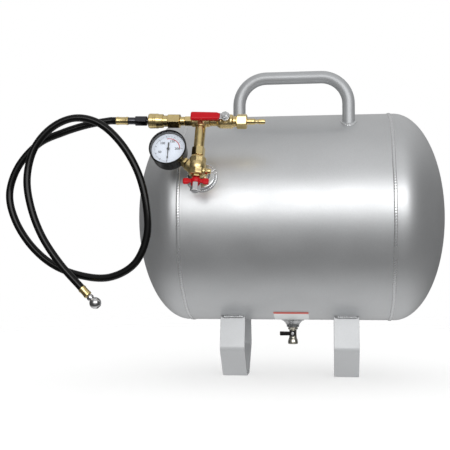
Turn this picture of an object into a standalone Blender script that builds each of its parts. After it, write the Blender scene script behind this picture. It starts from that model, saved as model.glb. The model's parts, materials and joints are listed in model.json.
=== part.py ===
"""Portable air receiver: a horizontal welded steel tank with strap feet, a tube handle, a drain valve, and a brass
manifold that carries a pressure gauge, a shut-off valve, a fill valve and a whip hose on a quick coupler.

Metres, +Z up. The tank's axis runs along X, and the manifold is on the -Y side. The origin is on the floor, under the
middle of the box that holds everything except the hose."""

import bmesh
import bpy
from math import atan2, cos, hypot, pi, radians, sin, sqrt
from mathutils import Matrix, Vector

# ---- Driving dimensions ----
GAP = 0.0003  # left between pieces that touch

TANK_RADIUS = 0.165
TANK_WALL = 0.003
SEAM_X = 0.157  # where the barrel meets each head
HEAD_SKIRT = 0.006
HEAD_RISE = 0.080
AXIS_Z = 0.2545  # height of the tank's axis above the floor
AXIS_Y = 0.02644  # the tank sits behind the origin, because the manifold reaches forwards
TANK_STEPS = 44

FOOT_X = 0.0887
FOOT_WIDTH = 0.039
FOOT_THICKNESS = 0.004
FOOT_SOLE = 0.020  # half the flat part that stands on the floor, measured along Y
FOOT_FOLD_Y = 0.0606
FOOT_FOLD_Z = 0.0455
FOOT_TOP_Y = 0.046
FOOT_TOP_Z = 0.110

HANDLE_X = 0.0098
HANDLE_Y = -0.085  # from the tank's axis
HANDLE_HALF_SPAN = 0.0834
HANDLE_TOP_Z = 0.4652
HANDLE_RADIUS = 0.010
HANDLE_WALL = 0.0016
HANDLE_BEND = 0.042

PORT_X = -0.122
PORT_TILT = radians(18)  # how far the port points above the horizontal
PORT_ROLL = radians(1.8)  # how far the manifold is turned on its nipple
PORT_REACH = 0.045  # from the tank's surface to the manifold's middle
PORT_FLANGE_RADIUS = 0.021

RUN_Z = 0.0684  # height of the upper run over the manifold's middle
RISER_RADIUS = 0.0076
BORE = 0.0040

GAUGE_X = -0.0427
GAUGE_Z = 0.0203
GAUGE_RADIUS = 0.027
GAUGE_PORT_Z = -0.010  # where the gauge's boss leaves the manifold

STEM_RADIUS = 0.0030
VALVE_X = 0.037  # the fill valve's stem, along the run
DRAIN_X = 0.0035
DRAIN_STEM_Z = 0.0676

HOSE_RADIUS = 0.0054
HOSE_START_X = -0.1263  # along the run, where the hose leaves its ferrule
HOSE_POINTS = 60
CHUCK_RADIUS = 0.0083

# The hose's route after its ferrule, from the tank's axis in Y: one and a half turns that come forwards as they go.
HOSE_ROUTE = [
    (-0.258, -0.1775, 0.3880),
    (-0.289, -0.1785, 0.3830),
    (-0.326, -0.1800, 0.3720),
    (-0.362, -0.1815, 0.3560),
    (-0.392, -0.1830, 0.3230),
    (-0.405, -0.1840, 0.2830),
    (-0.396, -0.1850, 0.2440),
    (-0.371, -0.1865, 0.2060),
    (-0.336, -0.1880, 0.1770),
    (-0.292, -0.1900, 0.1610),
    (-0.250, -0.1920, 0.1590),
    (-0.214, -0.1935, 0.1780),
    (-0.196, -0.1950, 0.2160),
    (-0.196, -0.1965, 0.2600),
    (-0.208, -0.1980, 0.3080),
    (-0.232, -0.1995, 0.3500),
    (-0.264, -0.2010, 0.3800),
    (-0.300, -0.2025, 0.3890),
    (-0.334, -0.2040, 0.3760),
    (-0.360, -0.2055, 0.3460),
    (-0.370, -0.2070, 0.3040),
    (-0.364, -0.2080, 0.2620),
    (-0.346, -0.2095, 0.2180),
    (-0.318, -0.2110, 0.1780),
    (-0.286, -0.2125, 0.1440),
]

# ---- The scene and its collections ----
for old in list(bpy.data.objects):
    bpy.data.objects.remove(old, do_unlink=True)

parts = bpy.data.collections.new("air_receiver_tank")
helpers = bpy.data.collections.new("cutters")
bpy.context.scene.collection.children.link(parts)
bpy.context.scene.collection.children.link(helpers)

AIM = {
    "+X": (0, radians(90), 0),
    "-X": (0, radians(-90), 0),
    "+Y": (radians(-90), 0, 0),
    "-Y": (radians(90), 0, 0),
    "+Z": (0, 0, 0),
    "-Z": (radians(180), 0, 0),
}


# ---- Materials ----
def material(name, colour, roughness, metallic, alpha=1.0):
    made = bpy.data.materials.new(name)
    made.use_nodes = True
    shader = made.node_tree.nodes["Principled BSDF"]
    shader.inputs["Base Color"].default_value = (*colour, 1.0)
    shader.inputs["Roughness"].default_value = roughness
    shader.inputs["Metallic"].default_value = metallic
    shader.inputs["Alpha"].default_value = alpha
    made.diffuse_color = (*colour, alpha)
    return made


SILVER_PAINT = material("silver_paint", (0.56, 0.57, 0.58), 0.35, 0.6)
BRASS = material("brass", (0.74, 0.56, 0.25), 0.28, 1.0)
CHROME = material("chrome", (0.80, 0.80, 0.82), 0.10, 1.0)
ZINC = material("zinc_steel", (0.66, 0.67, 0.68), 0.30, 1.0)
RED = material("red_vinyl", (0.72, 0.02, 0.03), 0.35, 0.0)
BLACK_PLASTIC = material("black_plastic", (0.015, 0.015, 0.016), 0.40, 0.0)
RUBBER = material("hose_rubber", (0.010, 0.010, 0.011), 0.45, 0.0)
DIAL_WHITE = material("dial_white", (0.86, 0.87, 0.88), 0.50, 0.0)
LENS = material("clear_lens", (0.95, 0.97, 0.98), 0.05, 0.0, 0.35)


# ---- Tools ----
def empty(name, location, rotation=(0, 0, 0), parent=None):
    made = bpy.data.objects.new(name, None)
    made.location = location
    made.rotation_euler = rotation
    made.parent = parent
    made.empty_display_size = 0.02
    parts.objects.link(made)
    return made


def shape(mesh, at=(0, 0, 0), aim="+Z", parent=None):
    """An object made from the mesh, at a place in its parent's frame, with its Z axis turned to aim. It starts as a
    helper, and part() makes it one of the receiver's pieces."""
    made = bpy.data.objects.new(mesh.name, mesh)
    made.location = at
    made.rotation_euler = AIM[aim] if isinstance(aim, str) else aim
    made.parent = parent
    made.hide_render = True
    made.display_type = "WIRE"
    helpers.objects.link(made)
    return made


def turned(profile, at=(0, 0, 0), aim="+Z", parent=None, steps=20, closed=False):
    """A turned solid. The profile's (radius, height) points run down its outer side, from the top to the bottom."""
    mesh = bpy.data.meshes.new("turned")
    edges = [(i, i + 1) for i in range(len(profile) - 1)]
    if closed:
        edges.append((len(profile) - 1, 0))
    mesh.from_pydata([(r, 0, z) for r, z in profile], edges, [])
    made = shape(mesh, at, aim, parent)
    screw = made.modifiers.new("turn", "SCREW")
    screw.axis = "Z"
    screw.steps = steps
    screw.render_steps = steps
    screw.use_merge_vertices = True
    screw.merge_threshold = 1e-5
    screw.use_normal_calculate = False
    return made


def rod(radius, low, high, at=(0, 0, 0), aim="+Z", parent=None, steps=20):
    return turned([(0, high), (radius, high), (radius, low), (0, low)], at, aim, parent, steps)


def ring(inner, outer, low, high, at=(0, 0, 0), aim="+Z", parent=None, steps=20):
    profile = [(inner, high), (outer, high), (outer, low), (inner, low)]
    return turned(profile, at, aim, parent, steps, closed=True)


def prism(flats, low, high, at=(0, 0, 0), aim="+Z", parent=None, sides=6):
    """A hexagon bar, or one with another number of sides, with its size given across its flats."""
    mesh = bpy.data.meshes.new("prism")
    bm = bmesh.new()
    corner = flats / 2 / cos(pi / sides)
    middle = Matrix.Translation((0, 0, (low + high) / 2))
    bmesh.ops.create_cone(
        bm, cap_ends=True, segments=sides, radius1=corner, radius2=corner, depth=high - low, matrix=middle
    )
    bm.to_mesh(mesh)
    bm.free()
    return shape(mesh, at, aim, parent)


def ball(radius, at=(0, 0, 0), aim="+Z", parent=None, steps=16):
    mesh = bpy.data.meshes.new("ball")
    bm = bmesh.new()
    bmesh.ops.create_uvsphere(bm, u_segments=steps, v_segments=steps // 2, radius=radius)
    bm.to_mesh(mesh)
    bm.free()
    return shape(mesh, at, aim, parent)


def block(size, at=(0, 0, 0), aim="+Z", parent=None, bevel=0.0):
    mesh = bpy.data.meshes.new("block")
    bm = bmesh.new()
    bmesh.ops.create_cube(bm, size=1.0, matrix=Matrix.Diagonal((*size, 1.0)))
    bm.to_mesh(mesh)
    bm.free()
    made = shape(mesh, at, aim, parent)
    if bevel:
        edge = made.modifiers.new("edges", "BEVEL")
        edge.width = bevel
        edge.segments = 2
    return made


def boolean(target, others, operation):
    for other in others:
        step = target.modifiers.new(operation.lower(), "BOOLEAN")
        step.operation = operation
        step.object = other
        step.solver = "EXACT"


def part(name, base, finish, add=(), cut=()):
    """Makes base a named piece, after the shapes in add are joined to it and those in cut are taken from it."""
    boolean(base, add, "UNION")
    boolean(base, cut, "DIFFERENCE")
    base.name = name
    base.data.name = name
    base.hide_render = False
    base.display_type = "TEXTURED"
    helpers.objects.unlink(base)
    parts.objects.link(base)
    base.data.materials.clear()
    base.data.materials.append(finish)
    return base


def arc(centre, radius, start, end, steps):
    """Points on an arc, from one angle to another, as (across, up)."""
    turn = [start + (end - start) * i / steps for i in range(steps + 1)]
    return [(centre[0] + radius * cos(a), centre[1] + radius * sin(a)) for a in turn]


def fillet(before, corner, after, radius, steps=3):
    """The points of a rounded corner on an outline that goes from before to corner to after."""
    corner = Vector(corner)
    one = (Vector(before) - corner).normalized()
    two = (Vector(after) - corner).normalized()
    half = one.angle(two) / 2
    centre = corner + (one + two).normalized() * radius / sin(half)
    first = corner + one * radius / (sin(half) / cos(half)) - centre
    last = corner + two * radius / (sin(half) / cos(half)) - centre
    start = atan2(first.y, first.x)
    sweep = (atan2(last.y, last.x) - start + pi) % (2 * pi) - pi
    return arc(centre, radius, start, start + sweep, steps)


def tube(path, radius, resolution, caps=True):
    """A round tube along world points, as a curve object."""
    curve = bpy.data.curves.new("tube", "CURVE")
    curve.dimensions = "3D"
    curve.bevel_depth = radius
    curve.bevel_resolution = resolution
    curve.use_fill_caps = caps
    spline = curve.splines.new("POLY")
    spline.points.add(len(path) - 1)
    for point, place in zip(spline.points, path):
        point.co = (*place, 1.0)
    made = bpy.data.objects.new("tube", curve)
    made.hide_render = True
    helpers.objects.link(made)
    return made


def meshed(curve_object):
    """The curve object's surface as a mesh helper, with its caps welded on."""
    bpy.context.view_layer.update()
    graph = bpy.context.evaluated_depsgraph_get()
    mesh = bpy.data.meshes.new_from_object(curve_object.evaluated_get(graph))
    bm = bmesh.new()
    bm.from_mesh(mesh)
    bmesh.ops.remove_doubles(bm, verts=bm.verts, dist=1e-6)
    bm.to_mesh(mesh)
    bm.free()
    made = shape(mesh)
    made.matrix_world = curve_object.matrix_world
    bpy.data.objects.remove(curve_object, do_unlink=True)
    return made


def smooth_path(points, count):
    """Evenly numbered points on a Catmull-Rom curve through the given ones."""
    points = [Vector(p) for p in points]
    ends = [2 * points[0] - points[1], *points, 2 * points[-1] - points[-2]]
    path = []
    for i in range(count):
        along = i * (len(points) - 1) / (count - 1)
        k = min(int(along), len(points) - 2)
        t = along - k
        a, b, c, d = ends[k : k + 4]
        cubic = (3 * b - a - 3 * c + d) * t**3 + (2 * a - 5 * b + 4 * c - d) * t**2 + (c - a) * t
        path.append(b + cubic / 2)
    return path


# ---- Frames ----
tank = empty("tank_axis", (0, AXIS_Y, AXIS_Z))

port_distance = TANK_RADIUS + PORT_REACH
manifold = empty(
    "manifold_frame",
    (PORT_X, -port_distance * cos(PORT_TILT), port_distance * sin(PORT_TILT)),
    (Matrix.Rotation(-PORT_TILT, 3, "X") @ Matrix.Rotation(PORT_ROLL, 3, "Y")).to_euler(),
    tank,
)
run = empty("upper_run", (0, 0, RUN_Z), parent=manifold)
fill_turn = empty("fill_valve_axis", (VALVE_X, 0, 0), parent=run)
gauge = empty("gauge_frame", (GAUGE_X, 0, GAUGE_Z), parent=manifold)
drain = empty("drain_frame", (DRAIN_X, 0, -AXIS_Z), parent=tank)
drain_turn = empty("drain_valve_axis", (0, 0, DRAIN_STEM_Z), parent=drain)


def tank_cutter(steps=96):
    """A bar the size of the tank, for the pieces that are cut to sit on it."""
    return rod(TANK_RADIUS + GAP, -SEAM_X, SEAM_X, aim="+X", parent=tank, steps=steps)


# ---- Tank ----
def make_tank():
    inner = TANK_RADIUS - TANK_WALL
    barrel = ring(inner, TANK_RADIUS, -SEAM_X, SEAM_X, aim="+X", parent=tank, steps=TANK_STEPS)
    port_hole = rod(0.0078, 0.030, 0.065, aim="+Y", parent=manifold)
    drain_hole = rod(0.0064, 0.070, 0.105, parent=drain)
    part("tank_barrel", barrel, SILVER_PAINT, cut=[port_hole, drain_hole])
    outer_rise = [(x, HEAD_SKIRT + z) for x, z in ellipse(TANK_RADIUS, HEAD_RISE)]
    inner_rise = [(x, HEAD_SKIRT + z) for x, z in ellipse(inner, HEAD_RISE - TANK_WALL)]
    profile = [*outer_rise, (TANK_RADIUS, 0), (inner, 0), *reversed(inner_rise)]
    for name, aim, side in (("left_head", "-X", -1), ("right_head", "+X", 1)):
        place = (side * (SEAM_X + GAP), 0, 0)
        head = turned(profile, place, aim, tank, TANK_STEPS)
        part(name, head, SILVER_PAINT)


def ellipse(across, rise, steps=6):
    """A quarter of an ellipse, from its top on the axis to its rim, with more points near the knuckle."""
    turn = [pi / 2 * (1 - i / steps) for i in range(steps + 1)]
    points = [(across * cos(a), rise * sin(a)) for a in turn]
    points[0] = (0, rise)
    return points


# ---- Feet and handle ----
def make_foot(name, x):
    """A strap bent to a trough with sloping lower sides, with its two ends cut to the tank."""
    corners = [
        (-FOOT_TOP_Y, FOOT_TOP_Z),
        (-FOOT_FOLD_Y, FOOT_FOLD_Z),
        (-FOOT_SOLE, 0),
        (FOOT_SOLE, 0),
        (FOOT_FOLD_Y, FOOT_FOLD_Z),
        (FOOT_TOP_Y, FOOT_TOP_Z),
    ]
    outline = [corners[0]]
    for before, corner, after in zip(corners, corners[1:], corners[2:]):
        outline += fillet(before, corner, after, 0.007)
    outline.append(corners[-1])
    bm = bmesh.new()
    verts = [bm.verts.new((x - FOOT_WIDTH / 2, y, z - AXIS_Z)) for y, z in outline]
    edges = [bm.edges.new(pair) for pair in zip(verts, verts[1:])]
    swept = bmesh.ops.extrude_edge_only(bm, edges=edges)["geom"]
    moved = [v for v in swept if isinstance(v, bmesh.types.BMVert)]
    bmesh.ops.translate(bm, verts=moved, vec=(FOOT_WIDTH, 0, 0))
    for face in bm.faces:
        face.normal_update()
    if sum(f.normal.z for f in bm.faces) > 0:
        bmesh.ops.reverse_faces(bm, faces=bm.faces)
    mesh = bpy.data.meshes.new(name)
    bm.to_mesh(mesh)
    bm.free()
    foot = shape(mesh, parent=tank)
    wall = foot.modifiers.new("strap", "SOLIDIFY")
    wall.thickness = FOOT_THICKNESS
    wall.offset = -1
    wall.use_even_offset = True
    part(name, foot, SILVER_PAINT, cut=[tank_cutter()])


def make_handle():
    low = AXIS_Z + sqrt(TANK_RADIUS**2 - HANDLE_Y**2) - 0.020
    left = HANDLE_X - HANDLE_HALF_SPAN
    right = HANDLE_X + HANDLE_HALF_SPAN
    upper_left = arc((left + HANDLE_BEND, HANDLE_TOP_Z - HANDLE_BEND), HANDLE_BEND, pi, pi / 2, 6)
    upper_right = arc((right - HANDLE_BEND, HANDLE_TOP_Z - HANDLE_BEND), HANDLE_BEND, pi / 2, 0, 6)
    outline = [(left, low), *upper_left, *upper_right, (right, low)]
    path = [(x, AXIS_Y + HANDLE_Y, z) for x, z in outline]
    handle = meshed(tube(path, HANDLE_RADIUS, 3, caps=False))
    wall = handle.modifiers.new("wall", "SOLIDIFY")
    wall.thickness = HANDLE_WALL
    wall.offset = -1
    part("handle", handle, SILVER_PAINT, cut=[tank_cutter()])


# ---- Port and manifold. Their frame has +X along the run, +Z up the riser and +Y towards the tank. ----
def make_port():
    flange = turned(
        [
            (0.0069, 0.052),
            (PORT_FLANGE_RADIUS, 0.052),
            (PORT_FLANGE_RADIUS, 0.0405),
            (0.0195, 0.039),
            (0.0125, 0.039),
            (0.0115, 0.036),
            (0.0069, 0.036),
        ],
        aim="+Y",
        parent=manifold,
        steps=32,
        closed=True,
    )
    part("port_flange", flange, ZINC, cut=[tank_cutter()])
    nipple = ring(BORE, 0.0066, 0.0163, 0.046, aim="+Y", parent=manifold, steps=20)
    part("tank_nipple", nipple, BRASS)


def make_manifold_body():
    direction = Vector((GAUGE_X, 0, GAUGE_Z - GAUGE_PORT_Z))
    lean = (0, atan2(direction.x, direction.z), 0)
    at = (0, 0, GAUGE_PORT_Z)
    body = rod(0.0110, -0.0176, 0.0120, parent=manifold)
    add = [
        ball(0.0130, (0, 0, -0.004), parent=manifold),
        rod(0.0098, 0, 0.0160, aim="+Y", parent=manifold),
        rod(0.0084, 0, 0.0187, at, lean, manifold),
        rod(0.0055, 0, 0.0125, (0, 0, -0.0110), "+X", manifold, 16),
    ]
    cut = [
        rod(STEM_RADIUS + GAP, -0.020, 0.016, parent=manifold, steps=16),
        rod(BORE, 0, 0.020, aim="+Y", parent=manifold, steps=16),
        rod(0.0025, 0, 0.020, at, lean, manifold, 12),
        rod(0.0020, 0, 0.020, (0, 0, -0.0110), "+X", manifold, 12),
    ]
    part("manifold_body", body, BRASS, add, cut)


def make_shutoff():
    bonnet = prism(0.0135, -0.0207, -0.0179, parent=manifold)
    stem_hole = rod(STEM_RADIUS + GAP, -0.030, 0, parent=manifold, steps=16)
    part("shutoff_bonnet", bonnet, BRASS, cut=[stem_hole])
    stem = rod(STEM_RADIUS, -0.0400, 0.0080, parent=manifold, steps=16)
    part("shutoff_stem", stem, ZINC, cut=[rod(0.0018, -0.006, 0.006, (0, 0, 0.0035), "+Y", manifold, 10)])
    hub = turned([(0, -0.0210), (0.0050, -0.0210), (0.0062, -0.0230), (0.0062, -0.0290), (0, -0.0290)], parent=manifold)
    wings = [
        block((0.0150, 0.0062, 0.0058), (side * 0.0105, 0, -0.0262), (0, side * radians(4), 0), manifold, 0.0018)
        for side in (-1, 1)
    ]
    hub_hole = rod(STEM_RADIUS + GAP, -0.040, 0, parent=manifold, steps=16)
    part("shutoff_wings", hub, RED, wings, [hub_hole])
    nut = prism(0.0122, -0.0432, -0.0293, parent=manifold)
    nut_hole = rod(STEM_RADIUS + GAP, -0.0405, -0.020, parent=manifold, steps=16)
    part("shutoff_nut", nut, CHROME, cut=[nut_hole])


def make_relief_valve():
    place = (0, 0, -0.0110)
    seat = prism(0.0085, 0.0128, 0.0160, place, "+X", manifold)
    cap = rod(0.0037, 0.0155, 0.0205, place, "+X", manifold, 16)
    guide = rod(0.0013, 0.0100, 0.0220, place, "+X", manifold, 12)
    part("relief_valve", seat, BRASS, [cap], [guide])
    pin = rod(0.0010, 0.0150, 0.0232, place, "+X", manifold, 12)
    eye = ring(0.0022, 0.0034, -0.0006, 0.0006, (0.0258, 0, -0.0110), "+Y", manifold, 20)
    part("relief_pull_ring", pin, CHROME, [eye])


def make_riser():
    nut = prism(0.0172, 0.0123, 0.0258, parent=manifold)
    neck = rod(0.0050, 0.0100, 0.0300, parent=manifold, steps=16)
    part("riser_nut", nut, BRASS, cut=[neck])
    pipe = ring(BORE, RISER_RADIUS, 0.0261, RUN_Z - 0.0105, parent=manifold, steps=24)
    part("riser_pipe", pipe, BRASS)
    body = rod(0.0084, -0.0130, 0.0130, aim="+X", parent=run)
    boss = rod(0.0082, -0.0102, 0, parent=run)
    bores = [
        rod(BORE, -0.020, 0.020, aim="+X", parent=run, steps=16),
        rod(BORE, -0.020, 0, parent=run, steps=16),
    ]
    part("run_tee", body, BRASS, [boss], bores)


# ---- Quick coupler and the hose's plug, to the left of the tee ----
def make_coupler():
    nipple = prism(0.0135, 0.0133, 0.0235, aim="-X", parent=run)
    barrel = rod(0.0064, 0.0230, 0.0302, aim="-X", parent=run)
    part("coupler_nipple", nipple, BRASS, [barrel], [rod(BORE, 0, 0.040, aim="-X", parent=run, steps=16)])
    hexagon = prism(0.0192, 0.0305, 0.0490, aim="-X", parent=run)
    socket = rod(0.0082, 0.0480, 0.0745, aim="-X", parent=run)
    bores = [
        rod(BORE, 0.020, 0.055, aim="-X", parent=run, steps=16),
        rod(0.0064, 0.0500, 0.080, aim="-X", parent=run),
    ]
    part("coupler_body", hexagon, BRASS, [socket], bores)
    seal = ring(0.0044, 0.0061, 0.0504, 0.0524, aim="-X", parent=run)
    part("coupler_seal", seal, RUBBER)
    sleeve = turned(
        [
            (0.0086, 0.0770),
            (0.0100, 0.0770),
            (0.0108, 0.0760),
            (0.0108, 0.0640),
            (0.0101, 0.0628),
            (0.0101, 0.0557),
            (0.0086, 0.0557),
        ],
        aim="-X",
        parent=run,
        closed=True,
    )
    part("coupler_sleeve", sleeve, BRASS)


def make_hose_plug():
    nose = turned(
        [
            (0, 0.1076),
            (0.0052, 0.1076),
            (0.0052, 0.0975),
            (0.0046, 0.0970),
            (0.0046, 0.0620),
            (0.0038, 0.0600),
            (0.0038, 0.0530),
            (0, 0.0530),
        ],
        aim="-X",
        parent=run,
    )
    hexagon = prism(0.0136, 0.0800, 0.0975, aim="-X", parent=run)
    part("hose_plug", nose, CHROME, [hexagon], [rod(0.0025, 0.040, 0.104, aim="-X", parent=run, steps=12)])
    part("hose_ferrule", ferrule(0.1079, -HOSE_START_X - GAP, run, "-X"), BRASS)


def ferrule(low, high, parent, aim, radius=0.0060):
    """A crimped sleeve with two pressed rings."""
    length = high - low
    third = [low + length * share for share in (0.30, 0.40, 0.60, 0.70)]
    dent = radius - 0.0005
    profile = [(0, high), (radius, high)]
    for start, stop in ((third[3], third[2]), (third[1], third[0])):
        profile += [(radius, start), (dent, start - 0.0004), (dent, stop + 0.0004), (radius, stop)]
    profile += [(radius, low), (0, low)]
    return turned(profile, aim=aim, parent=parent, steps=16)


# ---- Fill valve and plug, to the right of the tee ----
def make_fill_valve():
    body = turned(
        [
            (0, 0.0520),
            (0.0076, 0.0520),
            (0.0076, 0.0480),
            (0.0102, 0.0460),
            (0.0102, 0.0290),
            (0.0088, 0.0260),
            (0.0070, 0.0240),
            (0.0070, 0.0133),
            (0, 0.0133),
        ],
        aim="+X",
        parent=run,
    )
    boss = rod(0.0058, 0, 0.0125, aim="-Y", parent=fill_turn, steps=20)
    cut = [
        rod(BORE, 0, 0.060, aim="+X", parent=run, steps=16),
        ball(0.0068, parent=fill_turn),
        rod(STEM_RADIUS + GAP, 0, 0.020, aim="-Y", parent=fill_turn, steps=16),
    ]
    part("fill_valve_body", body, BRASS, [boss], cut)
    bead = ball(0.0064, parent=fill_turn)
    part(
        "fill_valve_ball",
        bead,
        CHROME,
        cut=[
            rod(BORE, -0.010, 0.010, aim="+X", parent=fill_turn, steps=16),
            rod(0.0040, 0.0052, 0.010, aim="-Y", parent=fill_turn, steps=16),
        ],
    )
    stem = rod(STEM_RADIUS, 0.0056, 0.0235, aim="-Y", parent=fill_turn, steps=16)
    part("fill_valve_stem", stem, ZINC)
    plate = rod(0.0065, 0.0150, 0.0170, aim="-Y", parent=fill_turn)
    arm = block((0.0480, 0.0020, 0.0095), (-0.0240, -0.0160, 0), parent=fill_turn)
    hole = rod(STEM_RADIUS + GAP, 0.010, 0.020, aim="-Y", parent=fill_turn, steps=16)
    part("fill_valve_lever", plate, ZINC, [arm], [hole])
    grip = block((0.0415, 0.0064, 0.0125), (-0.0293, -0.0160, 0), parent=fill_turn, bevel=0.0022)
    slot = block((0.0480, 0.0026, 0.0101), (-0.0240, -0.0160, 0), parent=fill_turn)
    part("fill_valve_grip", grip, RED, cut=[slot])
    nut = prism(0.0095, 0.0173, 0.0213, aim="-Y", parent=fill_turn)
    nut_hole = rod(STEM_RADIUS + GAP, 0.010, 0.030, aim="-Y", parent=fill_turn, steps=16)
    part("fill_valve_nut", nut, ZINC, cut=[nut_hole])


def make_fill_plug():
    adapter = prism(0.0190, 0.0523, 0.0670, aim="+X", parent=run)
    part("fill_adapter", adapter, BRASS, cut=[rod(BORE, 0.040, 0.080, aim="+X", parent=run, steps=16)])
    plug = turned(
        [
            (0.0022, 0.0930),
            (0.0032, 0.0930),
            (0.0038, 0.0915),
            (0.0038, 0.0845),
            (0.0031, 0.0830),
            (0.0031, 0.0800),
            (0.0044, 0.0780),
            (0.0044, 0.0673),
            (0.0022, 0.0673),
        ],
        aim="+X",
        parent=run,
        closed=True,
        steps=20,
    )
    part("fill_plug", plug, BRASS)


# ---- Gauge ----
def make_gauge():
    direction = Vector((-GAUGE_X, 0, GAUGE_PORT_Z - GAUGE_Z))
    lean = (0, atan2(direction.x, direction.z), 0)
    reach = hypot(direction.x, direction.z) - 0.0190
    stem = prism(0.0136, 0.0284, reach, aim=lean, parent=gauge)
    shank = rod(0.0040, 0.0090, 0.0290, aim=lean, parent=gauge, steps=16)
    part("gauge_stem", stem, BRASS, [shank], [rod(0.0015, 0, 0.060, aim=lean, parent=gauge, steps=10)])
    case = turned(
        [
            (0, 0.0125),
            (0.0235, 0.0125),
            (0.0258, 0.0100),
            (0.0258, -0.0105),
            (0.0248, -0.0105),
            (0.0248, 0.0095),
            (0.0230, 0.0115),
            (0, 0.0115),
        ],
        aim="+Y",
        parent=gauge,
        steps=32,
    )
    entry = rod(0.0043, 0.020, 0.030, aim=lean, parent=gauge, steps=16)
    part("gauge_case", case, BLACK_PLASTIC, cut=[entry])
    rim = turned(
        [
            (0.0248, 0.0145),
            (0.0258, 0.0148),
            (GAUGE_RADIUS, 0.0138),
            (GAUGE_RADIUS, 0.0074),
            (0.0261, 0.0074),
            (0.0261, 0.0108),
            (0.0248, 0.0108),
        ],
        aim="-Y",
        parent=gauge,
        steps=32,
        closed=True,
    )
    part("gauge_bezel", rim, BLACK_PLASTIC)
    part("gauge_lens", rod(0.0245, 0.0112, 0.0124, aim="-Y", parent=gauge, steps=32), LENS)
    dial = ring(0.0013, 0.0243, 0.0052, 0.0060, aim="-Y", parent=gauge, steps=32)
    part("gauge_dial", dial, DIAL_WHITE)
    drum = rod(0.0085, -0.0100, 0.0048, aim="-Y", parent=gauge)
    post = rod(0.0008, 0.0040, 0.0068, aim="-Y", parent=gauge, steps=10)
    part("gauge_movement", drum, BRASS, [post])
    make_needle()


def make_needle():
    """The pointer hangs at zero, straight down, with a short wide tail above its hub."""
    hub = rod(0.0021, 0.0072, 0.0086, aim="-Y", parent=gauge, steps=16)
    pointer = block((0.0008, 0.0006, 0.0170), (0, -0.0078, -0.0100), parent=gauge)
    tail = block((0.0022, 0.0006, 0.0090), (0, -0.0078, 0.0050), parent=gauge)
    part("gauge_needle", hub, BLACK_PLASTIC, [pointer, tail])


# ---- Drain ----
def make_drain():
    top = AXIS_Z - TANK_RADIUS
    bung = turned(
        [
            (0.0060, top + 0.003),
            (0.0165, top + 0.003),
            (0.0165, top - 0.001),
            (0.0125, top - 0.005),
            (0.0097, top - 0.009),
            (0.0097, top - 0.012),
            (0.0060, top - 0.012),
        ],
        parent=drain,
        closed=True,
        steps=28,
    )
    part("drain_bung", bung, ZINC, cut=[tank_cutter()])
    low = top - 0.0123
    body = turned(
        [
            (0, top - 0.004),
            (0.0057, top - 0.004),
            (0.0057, 0.0600),
            (0.0070, 0.0575),
            (0.0080, 0.0515),
            (0.0080, 0.0500),
            (0, 0.0500),
        ],
        parent=drain,
    )
    collar = prism(0.0135, low - 0.0035, low, parent=drain)
    boss = rod(0.0045, 0, 0.0090, aim="-Y", parent=drain_turn, steps=16)
    cut = [
        rod(0.0028, 0.040, 0.100, parent=drain, steps=12),
        ball(0.0048, parent=drain_turn, steps=16),
        rod(0.0021, 0, 0.020, aim="-Y", parent=drain_turn, steps=12),
    ]
    part("drain_valve_body", body, ZINC, [collar, boss], cut)
    bead = ball(0.0044, parent=drain_turn, steps=16)
    part(
        "drain_valve_ball",
        bead,
        CHROME,
        cut=[
            rod(0.0028, -0.010, 0.010, aim="+X", parent=drain_turn, steps=12),
            rod(0.0030, 0.0034, 0.010, aim="-Y", parent=drain_turn, steps=12),
        ],
    )
    part("drain_valve_stem", rod(0.0018, 0.0037, 0.0138, aim="-Y", parent=drain_turn, steps=12), ZINC)
    hub = rod(0.0050, 0.0096, 0.0134, aim="-Y", parent=drain_turn, steps=20)
    arm = block((0.0200, 0.0038, 0.0062), (-0.0115, -0.0115, 0), parent=drain_turn, bevel=0.0012)
    hole = rod(0.0021, 0.005, 0.020, aim="-Y", parent=drain_turn, steps=12)
    part("drain_lever", hub, BLACK_PLASTIC, [arm], [hole])
    part("drain_lever_screw", rod(0.0028, 0.0141, 0.0155, aim="-Y", parent=drain_turn, steps=12), CHROME)


# ---- Hose and chuck ----
def make_hose():
    bpy.context.view_layer.update()
    exit_point = run.matrix_world @ Vector((HOSE_START_X, 0, 0))
    straight = run.matrix_world @ Vector((HOSE_START_X - 0.006, 0, 0))
    route = [Vector((x, y + AXIS_Y, z)) for x, y, z in HOSE_ROUTE]
    path = smooth_path([exit_point, straight, *route], HOSE_POINTS)
    hose = meshed(tube(path, HOSE_RADIUS, 2))
    part("hose", hose, RUBBER)
    make_chuck(path[-1], (path[-1] - path[-2]).normalized())


def make_chuck(end, direction):
    """The ferrule, neck and ball-shaped tyre chuck on the hose's far end. Their frame has +Z along the hose."""
    frame = empty("chuck_frame", end, direction.to_track_quat("Z", "Y").to_euler())
    part("chuck_ferrule", ferrule(GAP, 0.0150, frame, "+Z"), BRASS)
    neck = turned(
        [
            (0, 0.0230),
            (0.0036, 0.0230),
            (0.0050, 0.0215),
            (0.0050, 0.0180),
            (0.0040, 0.0153),
            (0, 0.0153),
        ],
        parent=frame,
    )
    head = ball(CHUCK_RADIUS, (0, 0, 0.0297), parent=frame)
    seat = rod(0.0042, 0.0040, 0.012, (0, 0, 0.0297), parent=frame, steps=16)
    part("chuck", neck, CHROME, [head], [seat])
    part("chuck_seal", ring(0.0015, 0.0039, 0.0044, 0.0064, (0, 0, 0.0297), parent=frame, steps=16), RUBBER)


make_tank()
make_foot("left_foot", -FOOT_X)
make_foot("right_foot", FOOT_X)
make_handle()
make_port()
make_manifold_body()
make_shutoff()
make_relief_valve()
make_riser()
make_coupler()
make_hose_plug()
make_fill_valve()
make_fill_plug()
make_gauge()
make_drain()
make_hose()

for piece in parts.objects:
    if piece.type == "MESH":
        piece.data.shade_smooth()
        piece.data.set_sharp_from_angle(angle=radians(35))
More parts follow.
